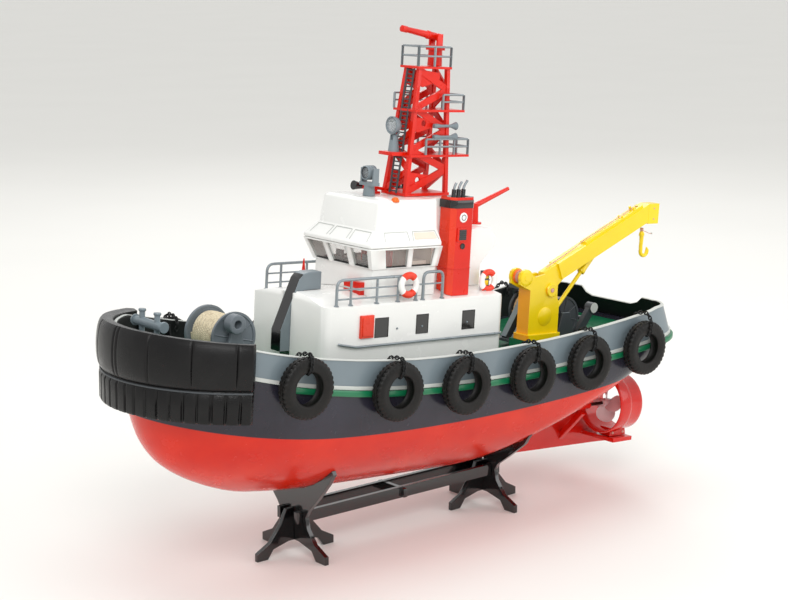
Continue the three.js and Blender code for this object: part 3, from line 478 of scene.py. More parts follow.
def breadth(line, x):
    if x > line["shoulder"]:
        run = (x - line["shoulder"]) / (line["bow"] - line["shoulder"])
        return line["half"] * math.sqrt(max(0, 1 - run * run))
    if x > line["quarter"]:
        return line["half"]
    reach = min(1, (line["quarter"] - x) / (line["quarter"] - line["stern"]))
    return line["half"] * max(0, 1 - reach ** line["corner"]) ** (1 / line["corner"])


def plan_points(line, turns=26):
    quarter_turn = [k / turns * math.pi / 2 for k in range(turns + 1)]
    port = [(lerp(line["shoulder"], line["bow"], math.cos(a)), line["half"] * math.sin(a))
            for a in quarter_turn]
    port += [(lerp(line["shoulder"], line["quarter"], k / 12), line["half"]) for k in range(1, 12)]
    power = 2 / line["corner"]
    port += [(lerp(line["quarter"], line["stern"], math.sin(a) ** power),
              line["half"] * max(0, math.cos(a)) ** power) for a in quarter_turn]
    return port + [(x, -y) for x, y in reversed(port[1:-1])]


def hull_ring(t, inset=0.0, lift=0.0):
    """The hull's plan at a share t of its height, with a raised forefoot and the top on the sheer."""
    def height(x):
        forefoot = 7 * max(0, (x - 90) / 120) ** 2 * (1 - t) ** 3
        return KEEL_Z + lift + forefoot + HULL_RISE * t + (sheer(x) + 5 - KEEL_Z - HULL_RISE) * t ** 3
    return [(x, y, height(x)) for x, y in plan_points(waterline(t, inset))]


def make_hull():
    bm = bmesh.new()
    outer = [hull_ring(t) for t in [0, 0.015, 0.04, 0.07] + [0.1 + 0.9 * k / 22 for k in range(23)]]
    inner = [hull_ring(t, WALL, 0 if t == 1 else WALL * (1 - t)) for t in (1, 0.8, 0.6, 0.4, 0.25, 0.12)]
    skin(bm, outer + inner)
    emit("hull_shell", bm, "boat", "hull", replaced="hull")
    bm = bmesh.new()
    for _, side in SIDES:
        lathe(bm, [(2.2, -213), (3.6, -213), (3.8, -205), (4.6, -190), (4.6, -130), (2.2, -130)], 20,
              (0, side * SHAFT_Y, SHAFT_Z), "x")
    emit("stern_tubes", bm, "boat", "gloss_red")
    make_deck_margin()


def make_deck_margin():
    """The strip of deck between the after deck's edge and the bulwark."""
    bm = bmesh.new()
    height, thick = 3.2, 1.2
    rings = []
    outer, inner = (plan_points(waterline(0.97, inset)) for inset in (2.6, 27))
    for (x, y), (inner_x, inner_y) in zip(outer, inner):
        if x < -175:
            z, inner_z = sheer(x) + height, sheer(inner_x) + height
            rings.append([(x, y, z - thick), (x, y, z),
                          (inner_x, inner_y, inner_z), (inner_x, inner_y, inner_z - thick)])
    skin(bm, rings)
    emit("stern_deck_margin", bm, "boat", "deck")


def bulwark_lean(x):
    """How far the stern bulwark leans inward over its height."""
    return 9 * smooth_step(-x, 215, 272)


def make_bulwark():
    """The wall with its pale top rail and black inside, and the stays behind it."""
    bm = bmesh.new()
    line = waterline(1)
    rings = []
    thick = 2.6
    for x, y in plan_points(line):
        centre = clamp(x, line["quarter"], line["shoulder"])
        inward = Vector((centre - x, -y)).normalized()
        if x < TRANSOM_X + 4:
            inward = Vector((1, inward.y))
        lean = bulwark_lean(x)
        foot, top = sheer(x) + 5.3, bulwark_top(x, y)

        def at(part, offset, drop=0.0):
            across = lean * part + offset
            return (x + inward.x * across, y + inward.y * across, lerp(foot, top, part) - drop)
        outside = [at(0, 0), at(0, 0, -3.2), at(0.11, 0.5), at(0.5, 0.35), at(0.93, 0.35), at(0.95, -0.25)]
        rail = [at(1, -0.2, 0.6), at(1, thick * 0.2), at(1, thick * 0.8), at(1, thick, 0.6)]
        rings.append(outside + rail + [at(0.9, thick), at(0.5, thick), at(0, thick)])
    bands = [1, 1, 0, 0, 0, 1, 1, 1, 1, 2, 2, 2, 2]
    skin(bm, rings, closed_rows=True, mat=lambda r, i: bands[i])
    emit("bulwark_wall", bm, "boat", ["bulwark", "trim", "inner"], replaced="bulwark")
    bm = bmesh.new()
    for x in (-250, -226, -190, -150, -100, -60, 150, 190, 225):
        for _, side in SIDES:
            y = side * (breadth(line, x) - 3.2)
            lean = bulwark_lean(x)
            foot, top = sheer(x) + 3.4, bulwark_top(x, y)
            inner = y - side * 7
            stay = [(y, foot), (y - side * lean, top - 4), (y - side * (lean + 2), top - 4), (inner, foot)]
            prism(bm, stay, (x - 0.8, x + 0.8), "yz")
    emit("bulwark_stays", bm, "boat", "inner", bevel=0.25)


def make_strake():
    """A rounded green band along the top of the hull, up to the bow fender."""
    bm = bmesh.new()
    line = waterline(1)

    def band(out):
        wider = {"half": HALF_BEAM + out, "bow": BOW_X + out, "stern": TRANSOM_X - out}
        return plan_points({**line, **wider}, 30)
    rings = []
    for (ax, ay), (bx, by), (mx, my) in zip(band(0.3), band(2.2), band(1.7)):
        if ax < 200:
            z = sheer(ax)
            rings.append([(ax, ay, z), (mx, my, z), (bx, by, z + 0.8), (bx, by, z + 4.2),
                          (mx, my, z + 5), (ax, ay, z + 5)])
    skin(bm, rings)
    emit("rub_strake_band", bm, "boat", "green", replaced="rub_strake")


def make_fender():
    """Lengths of round roll over a lower band with upright grooves, and a lighter bead along the groove as
    a painted highlight.
    """
    line = waterline(1)
    bm = bmesh.new()
    sweep, steps = math.radians(68), 300
    thick, groove, ribs = 14, 162.5, 22
    seams = (-0.88, -0.6, -0.3, -0.02, 0.02, 0.3, 0.6, 0.88)
    rings = []
    for k in range(steps + 1):
        turn = lerp(-1, 1, k / steps)
        angle = turn * sweep
        out = (math.cos(angle), math.sin(angle))
        crown = 204 - 5 * out[1] ** 2
        seam = (sum(math.exp(-((turn - s) / 0.006) ** 2) for s in seams)
                + max(0, (abs(turn) - 0.985) / 0.015))
        rib = smooth_step(0.5 + 0.5 * math.cos(turn * ribs * math.pi), 0.86, 0.99)
        end = 1 - smooth_step(abs(turn), 0.975, 1) * 0.35

        def at(offset, z):
            offset = 0.9 + (offset - 0.9) * end
            return (line["shoulder"] + (line["bow"] - line["shoulder"] + offset) * out[0],
                    (HALF_BEAM + offset) * out[1], z)
        lower = thick - 4.0 - 1.5 * rib
        section = [at(0.9, 135.9), at(5, 135.7), at(lower - 1.2, 136.5), at(lower, 138.5),
                   at(lower + 0.5, 149), at(lower + 0.9, groove - 4.5),
                   at(thick - 4.4, groove - 2), at(thick - 5, groove)]
        middle_z, half_height = (groove + crown) / 2 + 0.5, (crown - groove) / 2
        for step in range(1, 12):
            a = math.radians(-80 + 170 * step / 12)
            bulge = (thick * 0.5 - seam * 1.3) * max(0, math.cos(a)) ** 0.62 + thick * 0.5
            section.append(at(bulge, middle_z + half_height * math.sin(a)))
        section += [at(thick * 0.42, crown), at(0.9, crown - 1.5)]
        rings.append(section)
    skin(bm, rings)
    emit("bow_fender_roll", bm, "boat", "fender", replaced="bow_fender")
    # A thin grey bead along the groove, lighter than the rubber: painted highlight where the groove's edge
    # catches the light.
    bm = bmesh.new()
    strip = []
    offset = thick - 4.1
    for k in range(81):
        angle = lerp(-sweep, sweep, k / 80) * 0.985
        strip.append((line["shoulder"] + (line["bow"] - line["shoulder"] + offset) * math.cos(angle),
                      (HALF_BEAM + offset) * math.sin(angle), groove - 1.2))
    tube(bm, strip, 0.8, 8)
    emit("bow_fender_highlight_bead", bm, "boat", "dark")


# ------------------------------------------------------------------ tyres and their chains
TYRE_STATIONS = [182, 87, 11, -67, -137, -209]


def tyre_mesh():
    """A worn tyre about the y axis: rounded shoulders, rim lip, three tread rows of staggered blocks."""
    bm = bmesh.new()
    half = [(13.5, 4.2), (13.9, 5.2), (15.4, 5.9), (17, 5.7), (18, 6), (21, 5.9), (23.3, 5.2), (24.3, 4.3),
            (24.9, 3.2), (25, 2), (25, 1.1), (25, 0.7)]
    outline = [(r, -y) for r, y in half] + half[::-1] + [(15.5, 2.5), (15.5, -2.5)]
    sides = 108
    rings = []
    for k in range(sides):
        a = 2 * math.pi * k / sides
        ring = []
        for i, (r, y) in enumerate(outline):
            if 6 <= i <= 17:
                stagger = 0 if y < -1 else (1 if y > 1 else 2)
                if (k + stagger) % 3 == 0 and abs(y) > 1.0:
                    r -= 0.9
                if 0.9 < abs(y) < 1.6:
                    r -= 0.7
            ring.append((r * math.cos(a), y, r * math.sin(a)))
        rings.append(ring)
    skin(bm, rings, closed_rows=True)
    bmesh.ops.recalc_face_normals(bm, faces=bm.faces)
    mesh = bpy.data.meshes.new("tyre")
    bm.to_mesh(mesh)
    bm.free()
    mesh.transform(Matrix.Rotation(-TRIM, 4, "Y") @ Matrix.Scale(0.001, 4))
    mesh.materials.append(FINISH["tyre"])
    for face in mesh.polygons:
        face.use_smooth = True
    mesh.set_sharp_from_angle(angle=math.radians(50))
    return mesh


LINK_PITCH = 3.1


def chain(bm, path):
    """Oval links along a path, each a quarter turn from the one before."""
    points = [Vector(p) for p in path]
    lengths = [0.0]
    for a, b in zip(points, points[1:]):
        lengths.append(lengths[-1] + (b - a).length)
    count = int(lengths[-1] / LINK_PITCH)
    for k in range(count):
        s = (k + 0.5) * lengths[-1] / count
        i = max(n for n in range(len(lengths) - 1) if lengths[n] <= s)
        a, b = points[i], points[i + 1]
        p = a.lerp(b, (s - lengths[i]) / (lengths[i + 1] - lengths[i]))
        ahead = (b - a).normalized()
        u = ahead.cross(Vector((1, 0.2, 0.1))).normalized()
        if k % 2:
            u = ahead.cross(u)
        oval = [p + ahead * 2.3 * math.cos(t) + u * 1.5 * math.sin(t)
                for t in (2 * math.pi * n / 10 for n in range(10))]
        tube(bm, oval, 0.62, 6, closed=True)


def make_tyres():
    """Six tyres a side on one shared mesh, each hung from a chain over the bulwark."""
    mesh = tyre_mesh()
    chains = bmesh.new()
    for name, side in SIDES:
        for number, x in enumerate(TYRE_STATIONS):
            y = side * (breadth(waterline(1), x) + 2.2 + 0.3 + 6 + 0.3)
            z = sheer(x) + 6
            obj = bpy.data.objects.new(f"{name}_tyre_{number + 1}_form", mesh)
            bpy.context.scene.collection.objects.link(obj)
            obj.matrix_world = Matrix.Translation(world(x, y, z))
            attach(obj, "boat")
            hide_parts(f"{name}_tyre_{number + 1}")
            top = bulwark_top(x, y)
            cap = abs(y) - 9 - bulwark_lean(x)
            out = abs(y)
            run = [(out - 5, z + 12.2), (out, z + 12), (out + 6.9, z + 13.5), (out + 7.2, z + 22),
                   (out + 4.5, z + 26.4), (out - 1, max(top, z + 25) + 2.4), (cap - 2, top + 1.6),
                   (cap - 5.2, top - 1), (cap - 5.4, top - 9)]
            wavy = [(x + 1.5 * math.sin(k), side * a, b) for k, (a, b) in enumerate(run)]
            chain(chains, bent(wavy, 3, 3))
    emit("tyre_chains", chains, "boat", "inner")


# ------------------------------------------------------------------ running gear

def make_running_gear():
    """Each side's nozzle ring with its riveted saddle, and the propellers."""
    refined("skeg", "boat", "gloss_red", 0.5)
    for name, side in SIDES:
        y = side * SHAFT_Y
        bm = bmesh.new()
        profile = [(24.8, -259), (25.4, -260), (26.4, -260), (27.1, -259), (27.2, -256), (27.9, -244),
                   (28.0, -243.4), (28.7, -242.8), (29, -240), (29, -232), (28.9, -229.4), (28.2, -228.2),
                   (27.4, -228.2), (26.8, -229.4), (26.3, -236), (25.2, -250)]
        lathe(bm, profile, 72, (0, y, SHAFT_Z), "x")
        emit(f"{name}_nozzle_ring", bm, "boat", "gloss_red", replaced=f"{name}_nozzle")
        bm = bmesh.new()
        prism(bm, [(-260, 63.4), (-238, 63.4), (-239, 71.5), (-259, 69.6)], (y - 7, y + 7))
        for x in (-256, -242):
            rivet = [(0.01, 0), (1.5, 0), (1.3, 0.7), (0.01, 1)]
            turned(bm, rivet, 12, (x, y + side * 6.9, 66.4), (0, side, 0), mat=1)
        emit(f"{name}_nozzle_saddle", bm, "boat", ["gloss_red", "rivet"], bevel=0.4)
        make_propeller(name, side)


def make_propeller(name, side):
    """Four round blades with pitch and camber on a tapered hub, and the shaft."""
    bm = bmesh.new()
    centre = Vector((-238, side * SHAFT_Y, SHAFT_Z))
    for blade in range(4):
        spin = Matrix.Rotation(blade * math.pi / 2, 3, "X")
        faces = []
        for thick in (-0.65, 0.65):
            grid = []
            for i in range(7):
                radius = 9.2 * i / 6
                ring = []
                for k in range(24):
                    a = 2 * math.pi * k / 24
                    u, v = radius * math.cos(a), radius * math.sin(a)
                    reach = 10.4 + v
                    pitch = -side * (0.95 - 0.025 * reach)
                    edge = thick * (1 - (i / 6) ** 3 * 0.75)
                    bow = 0.02 * (u * u)
                    p = Vector((edge + bow, u, 0))
                    p.rotate(Matrix.Rotation(pitch, 3, "Z"))
                    ring.append(centre + spin @ Vector((p.x, p.y, reach)))
                grid.append(ring)
            faces.append(grid)
        outer = [faces[0][i] for i in range(1, 7)] + [faces[1][i] for i in range(6, 0, -1)]
        skin(bm, outer)
    turned(bm, [(0.01, -7.2), (1.6, -7), (2.9, -5.6), (3.7, -2), (4.3, 3), (4.2, 5), (3.4, 6.5),
                (0.01, 6.6)], 24, centre, "x")
    shaft = [(0.01, -125.6), (1.6, -126), (1.6, -242), (0.01, -242.6)]
    turned(bm, shaft, 16, (0, centre.y, SHAFT_Z), "x", mat=1)
    emit(f"{name}_screw", bm, f"{name}_screw", ["blade", "shaft"],
         replaced=f"{name}_propeller")


# ------------------------------------------------------------------ winches
WOUND_LAYERS = 2


def make_winch(name, x, z, flange, core, half, turns, flange_finish, rope):
    """A ribbed reel on an axle along y, twice half wide, with rope wound on it."""
    bm = bmesh.new()
    inner, outer = half - 2.0, half
    rim = [(2.0, inner), (flange - 2.2, inner), (flange - 1.8, inner - 0.5), (flange - 0.2, inner - 0.5),
           (flange, inner - 0.1), (flange, outer), (flange - 0.3, outer), (flange - 2, outer),
           (flange - 2.4, outer - 0.8), (4.6, outer - 0.8), (4.4, outer), (2.0, outer)]
    for end in (-1, 1):
        lathe(bm, rim if end > 0 else [(radius, -y) for radius, y in reversed(rim)], 64, (x, 0, z))
        for k in range(8):
            a = 2 * math.pi * k / 8 + 0.2
            out = Vector((math.cos(a), 0, math.sin(a)))
            y = end * (half - 0.55)
            rod(bm, Vector((x, y, z)) + out * 4, Vector((x, y, z)) + out * (flange - 2), 0.55, 6)
    lathe(bm, [(2.0, -half + 2), (core * 0.8, -half + 2), (core * 0.8, half - 2), (2.0, half - 2)], 32,
          (x, 0, z), mat=0)
    emit(f"{name}_reel", bm, f"{name}_reel", flange_finish, replaced=f"{name}_winch_drum")
    bm = bmesh.new()
    points, draw = [], random.Random(7)
    thick = (2 * half - 4.6) / turns / 2
    for layer in range(WOUND_LAYERS):
        radius = core - 0.6 + (layer + 1 - WOUND_LAYERS) * thick * 1.75 + thick
        steps = turns * 30
        for k in range(steps + 1):
            part = k / steps if layer % 2 == 0 else 1 - k / steps
            a = 2 * math.pi * k / 30
            jitter = draw.uniform(-0.12, 0.12)
            y = lerp(-half + 2.2 + thick, half - 2.2 - thick, part)
            points.append((x + (radius + jitter) * math.cos(a), y + jitter,
                           z + (radius + jitter) * math.sin(a)))
    tube(bm, points, thick * 1.08, 7)
    emit(f"{name}_windings", bm, f"{name}_reel", rope)


def make_deck_gear():
    make_winch("bow", 197, 190.5, 21.5, 15.4, 20, 14, "winch", "rope")
    make_winch("aft", -174, 183, 20, 16.6, 27, 24, "dark", "tan_rope")
    refined("bow_winch_frame", "boat", "winch", 0.4)
    refined("aft_winch_frame", "boat", ["dark", "grey"], 0.4,
            paint=lambda c, n: 1 if n.z > 0.35 and c.z > 170 else 0)
    refined("tow_gear", "boat", ["dark", "trim"], 0.45,
            paint=lambda c, n: 1 if c.z > 178 and abs(n.y) > 0.9 and abs(c.x + 221) < 2 else 0)
    refined("bow_bitts", "boat", "bulwark", 0.4)
    bm = bmesh.new()
    pulley = [(3.4, 24.4), (7.2, 24.4), (8, 25), (8, 33), (7.2, 33.6), (3.6, 33.6), (3.4, 33)]
    lathe(bm, pulley, 40, (203, 0, 204))
    for x in (184, 210):
        for _, side in SIDES:
            turned(bm, [(0.01, 0), (1.5, 0), (1.3, 1), (0.01, 1.2)], 10,
                   (x - side, side * 21, sheer(x) + 6.6), "z")
    emit("bow_winch_side", bm, "boat", "winch", bevel=0.3)
    bm = bmesh.new()
    bitts_x = 265
    for _, side in SIDES:
        turned(bm, [(0.01, 0), (2.8, 0), (3.1, 0.6), (3.1, 1.5), (2.8, 2.1), (0.01, 2.3)], 20,
              (bitts_x, side * 11, 212.4), "z")
        turned(bm, [(0.01, -0.4), (4.6, -0.4), (4.6, 1.1), (4.2, 1.6), (0.01, 1.6)], 28,
              (bitts_x, side * 20, 204), (0, side, 0))
    emit("bitt_caps", bm, "boat", "bulwark")


# ------------------------------------------------------------------ superstructure
HOUSE_HALF = 51


def through(face, side, inward, outward):
    """The y span from inside one side's face to outside it."""
    return sorted((face - side * inward, face + side * outward))


def roof_z(y):
    """The top of the cambered deckhouse roof."""
    y = abs(y)
    if y > 27:
        return lerp(220.5, 215, (y - 27) / 24)
    return 222.5 if y < 7 else lerp(222.5, 220.5, (y - 7) / 20)


def make_house():
    """The deckhouse with its portholes, red side panels, knobs and handrails."""
    refined("deckhouse", "superstructure", "white", 1.1, 3)
    refined("ventilation_trunk", "superstructure", ["black", "grey"], 0.7, 3,
            paint=lambda c, n: 1 if n.y > 0.8 or n.y < -0.8 or (n.z > 0.9 and c.z > 236) else 0)
    bm = bmesh.new()
    low, high, lip = 187, 203, 0.5
    for _, side in SIDES:
        wall = side * HOUSE_HALF
        for x0, x1 in ((61, 75), (16.4, 29.4), (-37.5, -23.5)):
            brick(bm, (x0, x1), through(wall, side, 1, 0.15), (low, high))
            upright = (low - lip, high + lip)
            for across, up in (((x0 - lip, x0 + 0.3), upright), ((x1 - 0.3, x1 + lip), upright),
                               ((x0, x1), (low - lip, low + 0.3)), ((x0, x1), (high - 0.3, high + lip))):
                brick(bm, across, through(wall, side, 0.5, 0.45), up)
        brick(bm, (78, 92), through(wall, side, 0.6, 2.2), (187.4, 206.6), 1)
        brick(bm, (79.6, 90.4), through(wall, side, 0.6, 3), (189.2, 204.8), 1)
        for x in (51, 23, -29):
            knob = [(0.01, 0), (1.1, 0), (0.8, 0.8), (0.01, 0.9)]
            turned(bm, knob, 10, (x, wall, 193), (0, side, 0), mat=2)
    emit("house_ports", bm, "superstructure", ["pane", "light_red", "grey"], bevel=0.3)
    bm = bmesh.new()
    for _, side in SIDES:
        route = [(114, 51.2, 184), (112, 53, 183.6), (96, 53.4, 180.6),
                 (-68, 53.4, 180.7), (-70, 51.2, 180.9)]
        tube(bm, bent([(x, side * y, z) for x, y, z in route], 3), 1.05, 10)
        for x in (80, 45, 10, -25, -55):
            rod(bm, (x, side * 51, 180.65), (x, side * 53.2, 180.65), 0.7, 8)
    emit("house_handrails", bm, "superstructure", "rail")
    make_rails()
    make_bridge()
    make_roof_fittings()


def make_rails():
    """Each side's long roof rail and the hoop behind it, on round feet."""
    for name, side in SIDES:
        bm = bmesh.new()
        y = side * 48.8

        def at(x, z):
            return (x, y, z)
        top, hoop, middle, low = 237.2, 239.2, 229, 221
        foot = roof_z(y) + 0.3
        tube(bm, bent([at(116, foot), at(116, top), at(30, top), at(30, foot)], 7, 7), 1.25, 12)
        tube(bm, bent([at(22, foot), at(22, hoop), at(0, hoop), at(0, foot)], 6, 7), 1.35, 12)
        for x in (101, 73, 50):
            rod(bm, at(x, foot), at(x, top), 1.1)
        for z in (middle, low):
            rod(bm, at(30, z), at(116, z), 0.75, 10)
        rod(bm, at(0, middle), at(30, middle), 0.75, 10)
        for x in (116, 101, 73, 50, 30, 22, 0):
            flange = [(0.01, 0), (2.3, 0), (2.3, 0.5), (1.5, 1.1), (0.01, 1.3)]
            turned(bm, flange, 14, at(x, foot - 0.4), "z")
        emit(f"{name}_rail_tubes", bm, "superstructure", "rail", replaced=f"{name}_rail")


def wall_panel(bm, corners, holes):
    """A panel between four corners, (u, v) from 0 to 1, as a sheet of quads with openings left out."""
    a, b, c, d = (Vector(p) for p in corners)
    us = sorted({0.0, 1.0} | {u for h in holes for u in h[:2]})
    vs = sorted({0.0, 1.0} | {v for h in holes for v in h[2:]})
    grid = [[bm.verts.new(a.lerp(b, u).lerp(d.lerp(c, u), v)) for u in us] for v in vs]
    for j in range(len(vs) - 1):
        for i in range(len(us) - 1):
            u, v = (us[i] + us[i + 1]) / 2, (vs[j] + vs[j + 1]) / 2
            if not any(h[0] < u < h[1] and h[2] < v < h[3] for h in holes):
                bm.faces.new((grid[j][i], grid[j][i + 1], grid[j + 1][i + 1], grid[j + 1][i]))


def pane(bm, corners, hole, grow, thick, depth):
    """A flat pane across an opening, set back from the face and a little larger than it."""
    a, b, c, d = (Vector(p) for p in corners)
    normal = (b - a).cross(d - a).normalized()
    u0, u1, v0, v1 = hole[0] - grow, hole[1] + grow, hole[2] - grow, hole[3] + grow
    quad = [a.lerp(b, u).lerp(d.lerp(c, u), v) for u, v in ((u0, v0), (u1, v0), (u1, v1), (u0, v1))]
    skin(bm, [[p - normal * depth for p in quad], [p - normal * (depth + thick) for p in quad]])


def make_bridge():
    refined("bridge", "superstructure", "white", 0.7, 3)
    refined("bridge_roof", "superstructure", "white", 0.9, 3)
    # The glazed walls lean outward from the sill to the eave; each opening is a share of its wall.
    aft, sill, eave = 0.4, 243.2, 261.1
    sill_front, sill_half, eave_front, eave_half = 71.6, 39.6, 78.9, 44.9
    front = [(sill_front, -sill_half, sill), (sill_front, sill_half, sill),
             (eave_front, eave_half, eave), (eave_front, -eave_half, eave)]
    port = [(sill_front, sill_half, sill), (aft, sill_half, sill),
            (aft, eave_half, eave), (eave_front, eave_half, eave)]
    starboard = [(aft, -sill_half, sill), (sill_front, -sill_half, sill),
                 (eave_front, -eave_half, eave), (aft, -eave_half, eave)]
    low, high = 0.02, 0.94
    front_holes = [(a, b, low, high) for a, b in ((0.035, 0.285), (0.345, 0.638), (0.71, 0.965))]
    port_holes = [(a, b, low, high) for a, b in ((0.185, 0.515), (0.58, 0.905))]
    starboard_holes = [(1 - b, 1 - a, low, high) for a, b, _, _ in port_holes]
    walls = ((front, front_holes), (port, port_holes), (starboard, starboard_holes))
    bm = bmesh.new()
    for corners, holes in walls:
        wall_panel(bm, corners, holes)
    bmesh.ops.remove_doubles(bm, verts=bm.verts, dist=0.01)
    emit("window_frames", bm, "superstructure", "white", solidify=2.0,
         replaced="bridge_windows")
    bm = bmesh.new()
    seals = bmesh.new()
    for corners, holes in walls:
        a, b, c, d = (Vector(p) for p in corners)
        for hole in holes:
            pane(bm, corners, hole, 0.012, 0.5, 1.0)
            u0, u1, v0, v1 = hole
            loop = [a.lerp(b, u).lerp(d.lerp(c, u), v) for u, v in ((u0, v0), (u1, v0), (u1, v1), (u0, v1))]
            inward = (b - a).cross(d - a).normalized() * -0.7
            for k, (p, q) in enumerate(zip(loop, loop[1:] + loop[:1])):
                rod(seals, p + inward, q + inward, 0.75 if k == 0 else 0.4, 6, mat=0 if k == 0 else 1)
    emit("bridge_panes", bm, "superstructure", "glass")
    emit("window_seals", seals, "superstructure", ["inner", "trim"])
    make_bridge_inside()
    make_skylights()


def make_bridge_inside():
    """What shows through the panes: a pale bulkhead, the console with its screens, two red seats."""
    bm = bmesh.new()
    brick(bm, (2.6, 3.8), (-36, 36), (226, 262))
    brick(bm, (2.6, 66), (-36, 36), (226.2, 227.4))
    prism(bm, [(56, 227.4), (69, 227.4), (69, 245.5), (64, 247), (56, 242)], (-30, 30), "xz", 1)
    for y in (-18, 0, 18):
        brick(bm, (60.5, 62), (y - 5, y + 5), (243.5, 252), 1)
    lathe(bm, [(3.6, -0.4), (4.3, -0.4), (4.3, 0.4), (3.6, 0.4)], 18, (54, 8, 246), (1, 0, 0.6), mat=1)
    for y in (-14, 14):
        brick(bm, (36, 46), (y - 6, y + 6), (236, 239), 2)
        brick(bm, (33.5, 36), (y - 6, y + 6), (237, 254), 2)
        rod(bm, (41, y, 227.4), (41, y, 236), 1.6, 10, mat=1)
    brick(bm, (4.6, 10), (-30, -6), (227.4, 256))
    brick(bm, (8, 24), (18, 35), (227.4, 247))
    emit("bridge_inside", bm, "superstructure", ["wood", "dark", "red"], bevel=0.5)


def make_skylights():
    """Outlines on the visor: shallow pale frames, and a pale panel in the aftmost one of each side."""
    bm = bmesh.new()
    low, high = 264.4, 274.6

    def front_point(y, z):
        return Vector((lerp(81.2, 70.3, clamp((z - 264) / 11)), y, z))

    def side_point(x, z, side):
        return Vector((x, side * lerp(47.2, 40.3, clamp((z - 264) / 11)), z))
    for a, b in ((-37, -15), (-11, 11), (15, 37)):
        loop = [front_point(a * 1.05, low + 2), front_point(a * 0.97, high - 1),
                front_point(b * 0.97, high - 1),
                front_point(b * 1.05, low + 2)]
        tube(bm, loop, 0.42, 6)
    for _, side in SIDES:
        for a, b in ((62, 37), (31, 6)):
            loop = [side_point(a + 2, low + 2, side), side_point(a, high - 1, side),
                    side_point(b, high - 1, side),
                    side_point(b - 2 if b < 10 else b, low + 2, side)]
            tube(bm, loop, 0.42, 6)
            if b < 10:
                inner = [side_point(a - 1.5, high - 2.2, side), side_point(b + 1.5, high - 2.2, side),
                         side_point(b + 0.2, low + 3, side), side_point(a - 0.4, low + 3, side)]
                out = Vector((0, side * 0.3, 0.2))
                skin(bm, [[p + out for p in inner], [p - out * 2 for p in inner]], mat=lambda r, i: 1)
    emit("visor_skylights", bm, "superstructure", ["trim", "wood"])


def make_roof_fittings():
    """Dome light, red horn with a black bell, spire beside the trunk, red box on the bridge."""
    bm = bmesh.new()
    dome = [(0.01, 4.2), (1.6, 3.9), (2.8, 2.9), (3.5, 1.4), (3.6, 0), (0.01, -0.4)]
    turned(bm, dome, 24, (47.5, 36, 298.7), "z", mat=1)
    horn_y = -15
    tube(bm, [(16.4, horn_y, 303.5), (36, horn_y, 305.9), (46, horn_y, 307.1)], [1.3, 1.8, 2.6], 16)
    tube(bm, [(44, horn_y, 306.9), (52.6, horn_y, 307.9)], [2.6, 4.2], 18, mat=2)
    brick(bm, (24, 30), (horn_y - 3, horn_y + 3), (299, 302))
    rod(bm, (27, horn_y, 301), (27, horn_y, 305), 1.5, 10)
    spire_x, spire_y = 101, -17
    turned(bm, [(0.01, 0), (7.5, 0), (7.5, 1.6), (6.9, 2.2), (0.01, 2.2)], 28,
           (spire_x, spire_y, roof_z(spire_y)), "z")
    tube(bm, [(spire_x, spire_y, 224), (spire_x, spire_y, 246)], [2.8, 0.5], 14)
    brick(bm, (71.6, 77), (8.5, 30.4), (219.5, 230.5))
    brick(bm, (71.6, 77.4), (8.3, 30.6), (223.5, 225), 3)
    emit("roof_fittings", bm, "superstructure", ["red", "orange", "black", "trim"], bevel=0.35)


def life_ring(name, centre, major, minor):
    """A white ring that faces sideways, with two red wrapped quarters, top and bottom."""
    bm = bmesh.new()
    steps, wrapped = 64, 0.72
    rings = []
    for k in range(steps):
        a = 2 * math.pi * k / steps
        out = Vector((-math.cos(a), 0, math.sin(a)))
        thick = minor * (1.05 if abs(math.sin(a)) > wrapped else 1)
        spots = [(thick * math.cos(t) * 1.05, thick * math.sin(t) * 0.8)
                 for t in (2 * math.pi * n / 16 for n in range(16))]
        rings.append([Vector(centre) + out * (major + over) + Vector((0, aside, 0)) for over,
                      aside in spots])
    skin(bm, rings, closed_rows=True,
         mat=lambda r, i: 1 if abs(math.sin(2 * math.pi * (r + 0.5) / steps)) > wrapped else 0)
    emit(name, bm, "superstructure", ["white", "light_red"])


def make_life_rings():
    """A ring on the port rail, and one behind the funnel on a rack with a yellow-faced box."""
    rack_x, rack_y, rack_z = -62, 40, 226
    life_ring("rail_life_ring", (40.6, 51.5, 229.6), 8.2, 2.9)
    life_ring("aft_life_ring", (rack_x, rack_y, rack_z), 7.6, 2.7)
    bm = bmesh.new()
    foot = roof_z(rack_y)
    for x in (rack_x - 4, rack_x + 4):
        rod(bm, (x, rack_y, foot), (x, rack_y, 220), 0.9, 10)
        turned(bm, [(0.01, 0), (2, 0), (2, 0.6), (0.01, 0.9)], 12, (x, rack_y, foot - 0.2), "z")
    for z in (rack_z - 6.5, rack_z, rack_z + 6.5):
        rod(bm, (rack_x - 5, 37, z), (rack_x + 5, 37, z), 0.5, 8)
    brick(bm, (rack_x - 4, rack_x + 4), (33.5, 37), (rack_z - 6.5, rack_z + 8.5), 1)
    for low, high in ((-4.5, 0), (1.6, 7.4)):
        brick(bm, (rack_x - 2.6, rack_x + 2.6), (33, 37.6), (rack_z + low, rack_z + high), 2)
    emit("life_ring_rack", bm, "superstructure", ["rail", "dark", "yellow"], bevel=0.3)


